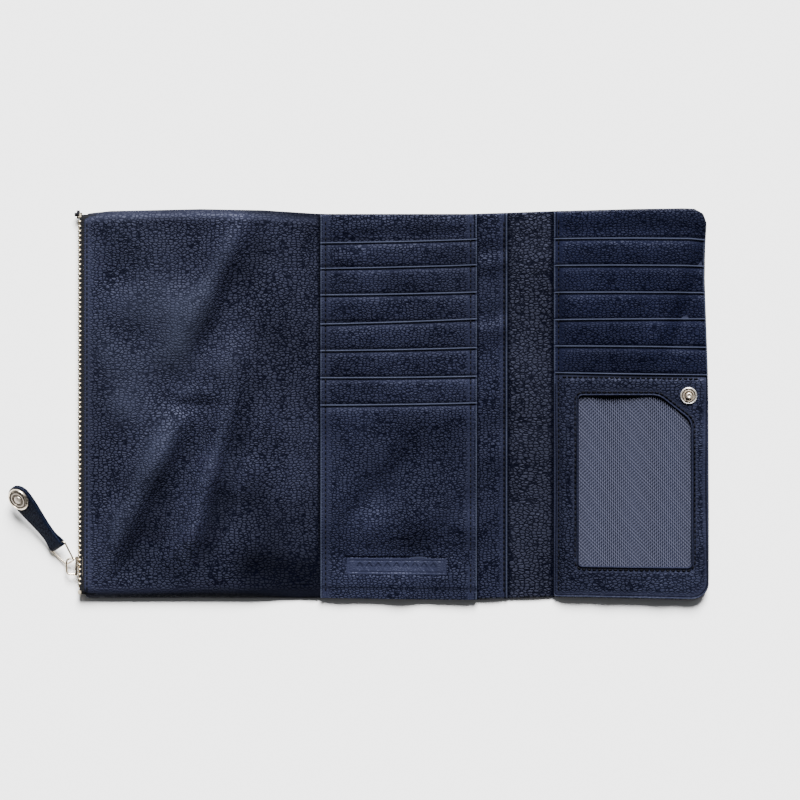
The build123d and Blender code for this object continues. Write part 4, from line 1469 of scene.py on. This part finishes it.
def pull_parts():
    """The strap folded over the link, and the rivet."""
    matrix, link = pull_matrix()
    tip = link + 44.7
    mid_z = 0.72
    loop = 1.42
    front = np.concatenate([tip - 0.05 - (1 - np.cos(np.linspace(0, math.pi / 2, 10))) * 7.95,
                            np.linspace(tip - 9.5, link + 7, 22)])
    near = np.linspace(link + 6, link + 0.5, 6)
    path = [(x, mid_z) for x in front]
    path += [(x, mid_z + (loop - mid_z) * ease(link + 7, link, x)) for x in near]
    path += [(link - loop * math.sin(t), loop * math.cos(t)) for t in np.linspace(0, math.pi, 11)]
    path += [(x, -mid_z - (loop - mid_z) * ease(link + 7, link, x)) for x in near[::-1]]
    path += [(x, -mid_z) for x in front[::-1]]
    path = np.array(path)
    ahead = directions(path)
    out = np.stack([ahead[:, 1], -ahead[:, 0]], -1)
    half = strap_half(np.maximum(path[:, 0], link), link, tip)
    half = np.maximum(half, 0.25)
    section = []
    for k in range(24):
        turn = 2 * math.pi * k / 24
        across = np.sign(math.cos(turn)) * abs(math.cos(turn)) ** 0.35
        up = np.sign(math.sin(turn)) * abs(math.sin(turn)) ** 0.55
        section.append((across, up))
    thick = 0.66
    ends = np.minimum(1, np.minimum(np.arange(len(path)), np.arange(len(path))[::-1]) / 3 + 0.25)
    points = []
    for (x, z), (ox, oz), width, slim in zip(path, out, half, ends):
        for across, up in section:
            points.append((x + ox * up * thick * slim, across * width, z + oz * up * thick * slim))
    size = len(section)
    faces = tube_faces(len(path), size)
    faces.append(tuple(range(size)))
    faces.append(tuple((len(path) - 1) * size + k for k in range(size))[::-1])
    placed = moved_to(points, matrix)
    edge = np.tile([abs(a) ** 4 for a, _ in section], len(path))
    floats = {"grain": np.ones(len(placed)), "worn": edge * 0.6}
    strap = make_object("pull_strap_leather", placed, faces, STRAP_LEATHER, floats=floats)
    face_outwards(strap)
    dress(strap, "pull_tab", "leather", "pull_strap")
    face_z = 1.4
    disc = matrix.copy()
    disc[:3, 3] = matrix[:3, 3] + matrix[:3, 0] * (tip - 8.0)
    outline = ((6.9, 0), (7.1, 0.25), (7.1, 1.2), (6.85, 1.65), (6.4, 1.95), (6.0, 1.98),
               (5.8, 1.7), (5.6, 1.4), (4.9, 1.4), (4.7, 1.75), (4.0, 1.75), (3.8, 1.4),
               (2.6, 1.4), (2.4, 1.85), (1.2, 2.0))
    rings = [(0, face_z)] + [(r, face_z + z) for r, z in outline] + [(0, face_z + 2.02)]
    cap = lathe("rivet_disc", rings, disc, GOLD)
    cap.data.materials.append(BRUSHED)
    centre = disc[:3, 3]
    for polygon in cap.data.polygons:
        away = np.array(polygon.center) / MM - centre
        flat = away - (away @ disc[:3, 2]) * disc[:3, 2]
        if np.linalg.norm(flat) < 5.8 and away @ disc[:3, 2] > face_z + 1:
            polygon.material_index = 1
    # Painted shade in the rivet's grooves.
    paint_groove_shade(cap, centre, disc[:3, 2], face_z + 1.6, 5.75, 2)
    dress(cap, "pull_tab", "pale_gold", "pull_rivet_cap")
    post = softened("pull_rivet_post", 0.3, GOLD)
    dress(post, "pull_tab", "pale_gold")


def paint_groove_shade(turned, centre, axis, height, reach, slot):
    """Paints the grooves of a turned metal piece darker, a painted shade."""
    turned.data.materials.append(GROOVE_SHADE)
    for polygon in turned.data.polygons:
        away = np.array(polygon.center) / MM - centre
        up = away @ axis
        out = np.linalg.norm(away - up * axis)
        if up < height and 1.95 < out < reach:
            polygon.material_index = slot


def metal_parts():
    """The slider, the link's finish, and both halves of the snap."""
    body = softened("slider_body", 0.22, GOLD)
    dress(body, "slider", "pale_gold")
    low, high = node_box("slider_crown")
    wire = 0.64
    left, bottom, top = low[0] + wire, low[1] + wire, high[1] - wire
    bend_radius = 2.4
    turn = np.linspace(0, math.pi / 2, 9)
    path = [(x, top) for x in np.linspace(high[0] + 0.3, left + bend_radius, 4)[:-1]]
    path += [(left + bend_radius * (1 - math.sin(t)), top - bend_radius * (1 - math.cos(t)))
             for t in turn]
    path += [(left, y) for y in np.linspace(top - bend_radius, bottom + bend_radius, 4)[1:-1]]
    path += [(left + bend_radius * (1 - math.cos(t)), bottom + bend_radius * (1 - math.sin(t)))
             for t in turn]
    path += [(x, bottom) for x in np.linspace(left + bend_radius, high[0] + 0.3, 4)[1:]]
    middle = (low[2] + high[2]) / 2
    points, faces = tube([(x, y, middle) for x, y in path], wire, 14)
    crown = make_object("slider_crown_wire", points, faces, GOLD)
    face_outwards(crown)
    dress(crown, "slider", "pale_gold", "slider_crown")
    link = frame["nodes"]["pull_link"]
    link.data.materials.clear()
    link.data.materials.append(GOLD)
    seat = np.array([SNAP[0], SNAP[1], SNAP_LOW[2]])
    rings = [(0, 0), (4.9, 0), (5.2, 0.2), (5.25, 0.6), (5.1, 0.95), (4.75, 1.15), (4.5, 1.1),
             (4.3, 0.85), (4.25, 0.3), (3.75, 0.25), (3.65, 0.6), (3.5, 1.1), (3.25, 1.35),
             (2.95, 1.35), (2.8, 1.1), (2.7, 0.3), (2.15, 0.25), (2.0, 0.6), (1.9, 1.6),
             (2.0, 2.6), (2.0, 3.3), (1.8, 3.75), (1.35, 3.98), (0.9, 3.9), (0.6, 3.7), (0, 3.65)]
    place = np.eye(4)
    place[:3, 3] = seat
    stud = lathe("snap_stud_turned", rings, place, NICKEL)
    stud.data.materials.append(BRUSHED)
    for polygon in stud.data.polygons:
        if np.linalg.norm(np.array(polygon.center)[:2] / MM - seat[:2]) < 4.15:
            polygon.material_index = 1
    # Painted shade in the stud's grooves.
    paint_groove_shade(stud, seat, np.array([0, 0, 1.0]), 0.62, 4.3, 2)
    dress(stud, "flap", "snap_metal", "snap_stud")
    for node, body_name in (("snap_socket", "pouch"), ("snap_socket_cap", "pouch"),
                            ("snap_stud_eyelet", "flap")):
        piece = softened(node, 0.25, NICKEL)
        dress(piece, body_name, "snap_metal")


# --- Stage, light and camera ---------------------------------------------------------------

def stage_and_camera():
    bpy.ops.mesh.primitive_plane_add(size=6.0, location=(0, 0, -0.0003))
    floor = bpy.context.active_object
    floor.name = "floor"
    floor.data.materials.append(backdrop("pale_floor"))
    world = bpy.data.worlds.new("soft_studio")
    bpy.context.scene.world = world
    world.use_nodes = True
    light_room(world.node_tree)
    soft_sun("window_light", towards=(0.10, 1.0, 0.85), spread=30, strength=18.5)
    camera_data = bpy.data.cameras.new("camera")
    camera = bpy.data.objects.new("camera", camera_data)
    bpy.context.scene.collection.objects.link(camera)
    distance = 2.0
    view_width = 0.488
    camera_data.sensor_width = 36.0
    camera_data.lens = camera_data.sensor_width * distance / view_width
    camera_data.clip_end = 20.0
    camera.location = (-0.0015, 0.0024, distance)
    camera.rotation_euler = (0, 0, 0)
    bpy.context.scene.camera = camera


def light_room(tree):
    """A dim room, a little brighter overhead and bright low down on the window's side."""
    direction = tree.nodes.new("ShaderNodeTexCoord").outputs["Generated"]
    parts = tree.nodes.new("ShaderNodeSeparateXYZ")
    tree.links.new(direction, parts.inputs[0])
    total = None
    for axis, low, high, amount in (("Z", 0.84, 0.99, 0.20), ("Y", 0.2, 0.85, 0.85),
                                    ("Z", -1.0, 1.0, 0.05)):
        ramp = tree.nodes.new("ShaderNodeMapRange")
        ramp.interpolation_type = "SMOOTHSTEP"
        tree.links.new(parts.outputs[axis], ramp.inputs["Value"])
        for key, value in (("From Min", low), ("From Max", high), ("To Min", 0.0),
                           ("To Max", amount)):
            ramp.inputs[key].default_value = value
        if total is None:
            total = ramp.outputs[0]
        else:
            joined = tree.nodes.new("ShaderNodeMath")
            tree.links.new(total, joined.inputs[0])
            tree.links.new(ramp.outputs[0], joined.inputs[1])
            total = joined.outputs[0]
    tree.links.new(total, tree.nodes["Background"].inputs["Strength"])
    tree.nodes["Background"].inputs["Color"].default_value = (0.95, 0.97, 1.0, 1.0)


def soft_sun(name, towards, spread, strength):
    """Even, soft light over the whole scene from one side, as from a wide softbox far off."""
    data = bpy.data.lights.new(name, "SUN")
    data.energy = strength
    data.angle = math.radians(spread)
    light = bpy.data.objects.new(name, data)
    bpy.context.scene.collection.objects.link(light)
    light.rotation_euler = Vector(towards).to_track_quat("Z", "Y").to_euler()


back_sheets()
pouch_leather()
linings()
centre_surfaces = centre_cards()
note_top = note_pocket()
spine_leather()
flap_surfaces = flap_cards()
flap_board()
window_frame()
window_mesh()
all_stitches(centre_surfaces, flap_surfaces, note_top)
zip_parts()
pull_parts()
metal_parts()
stage_and_camera()
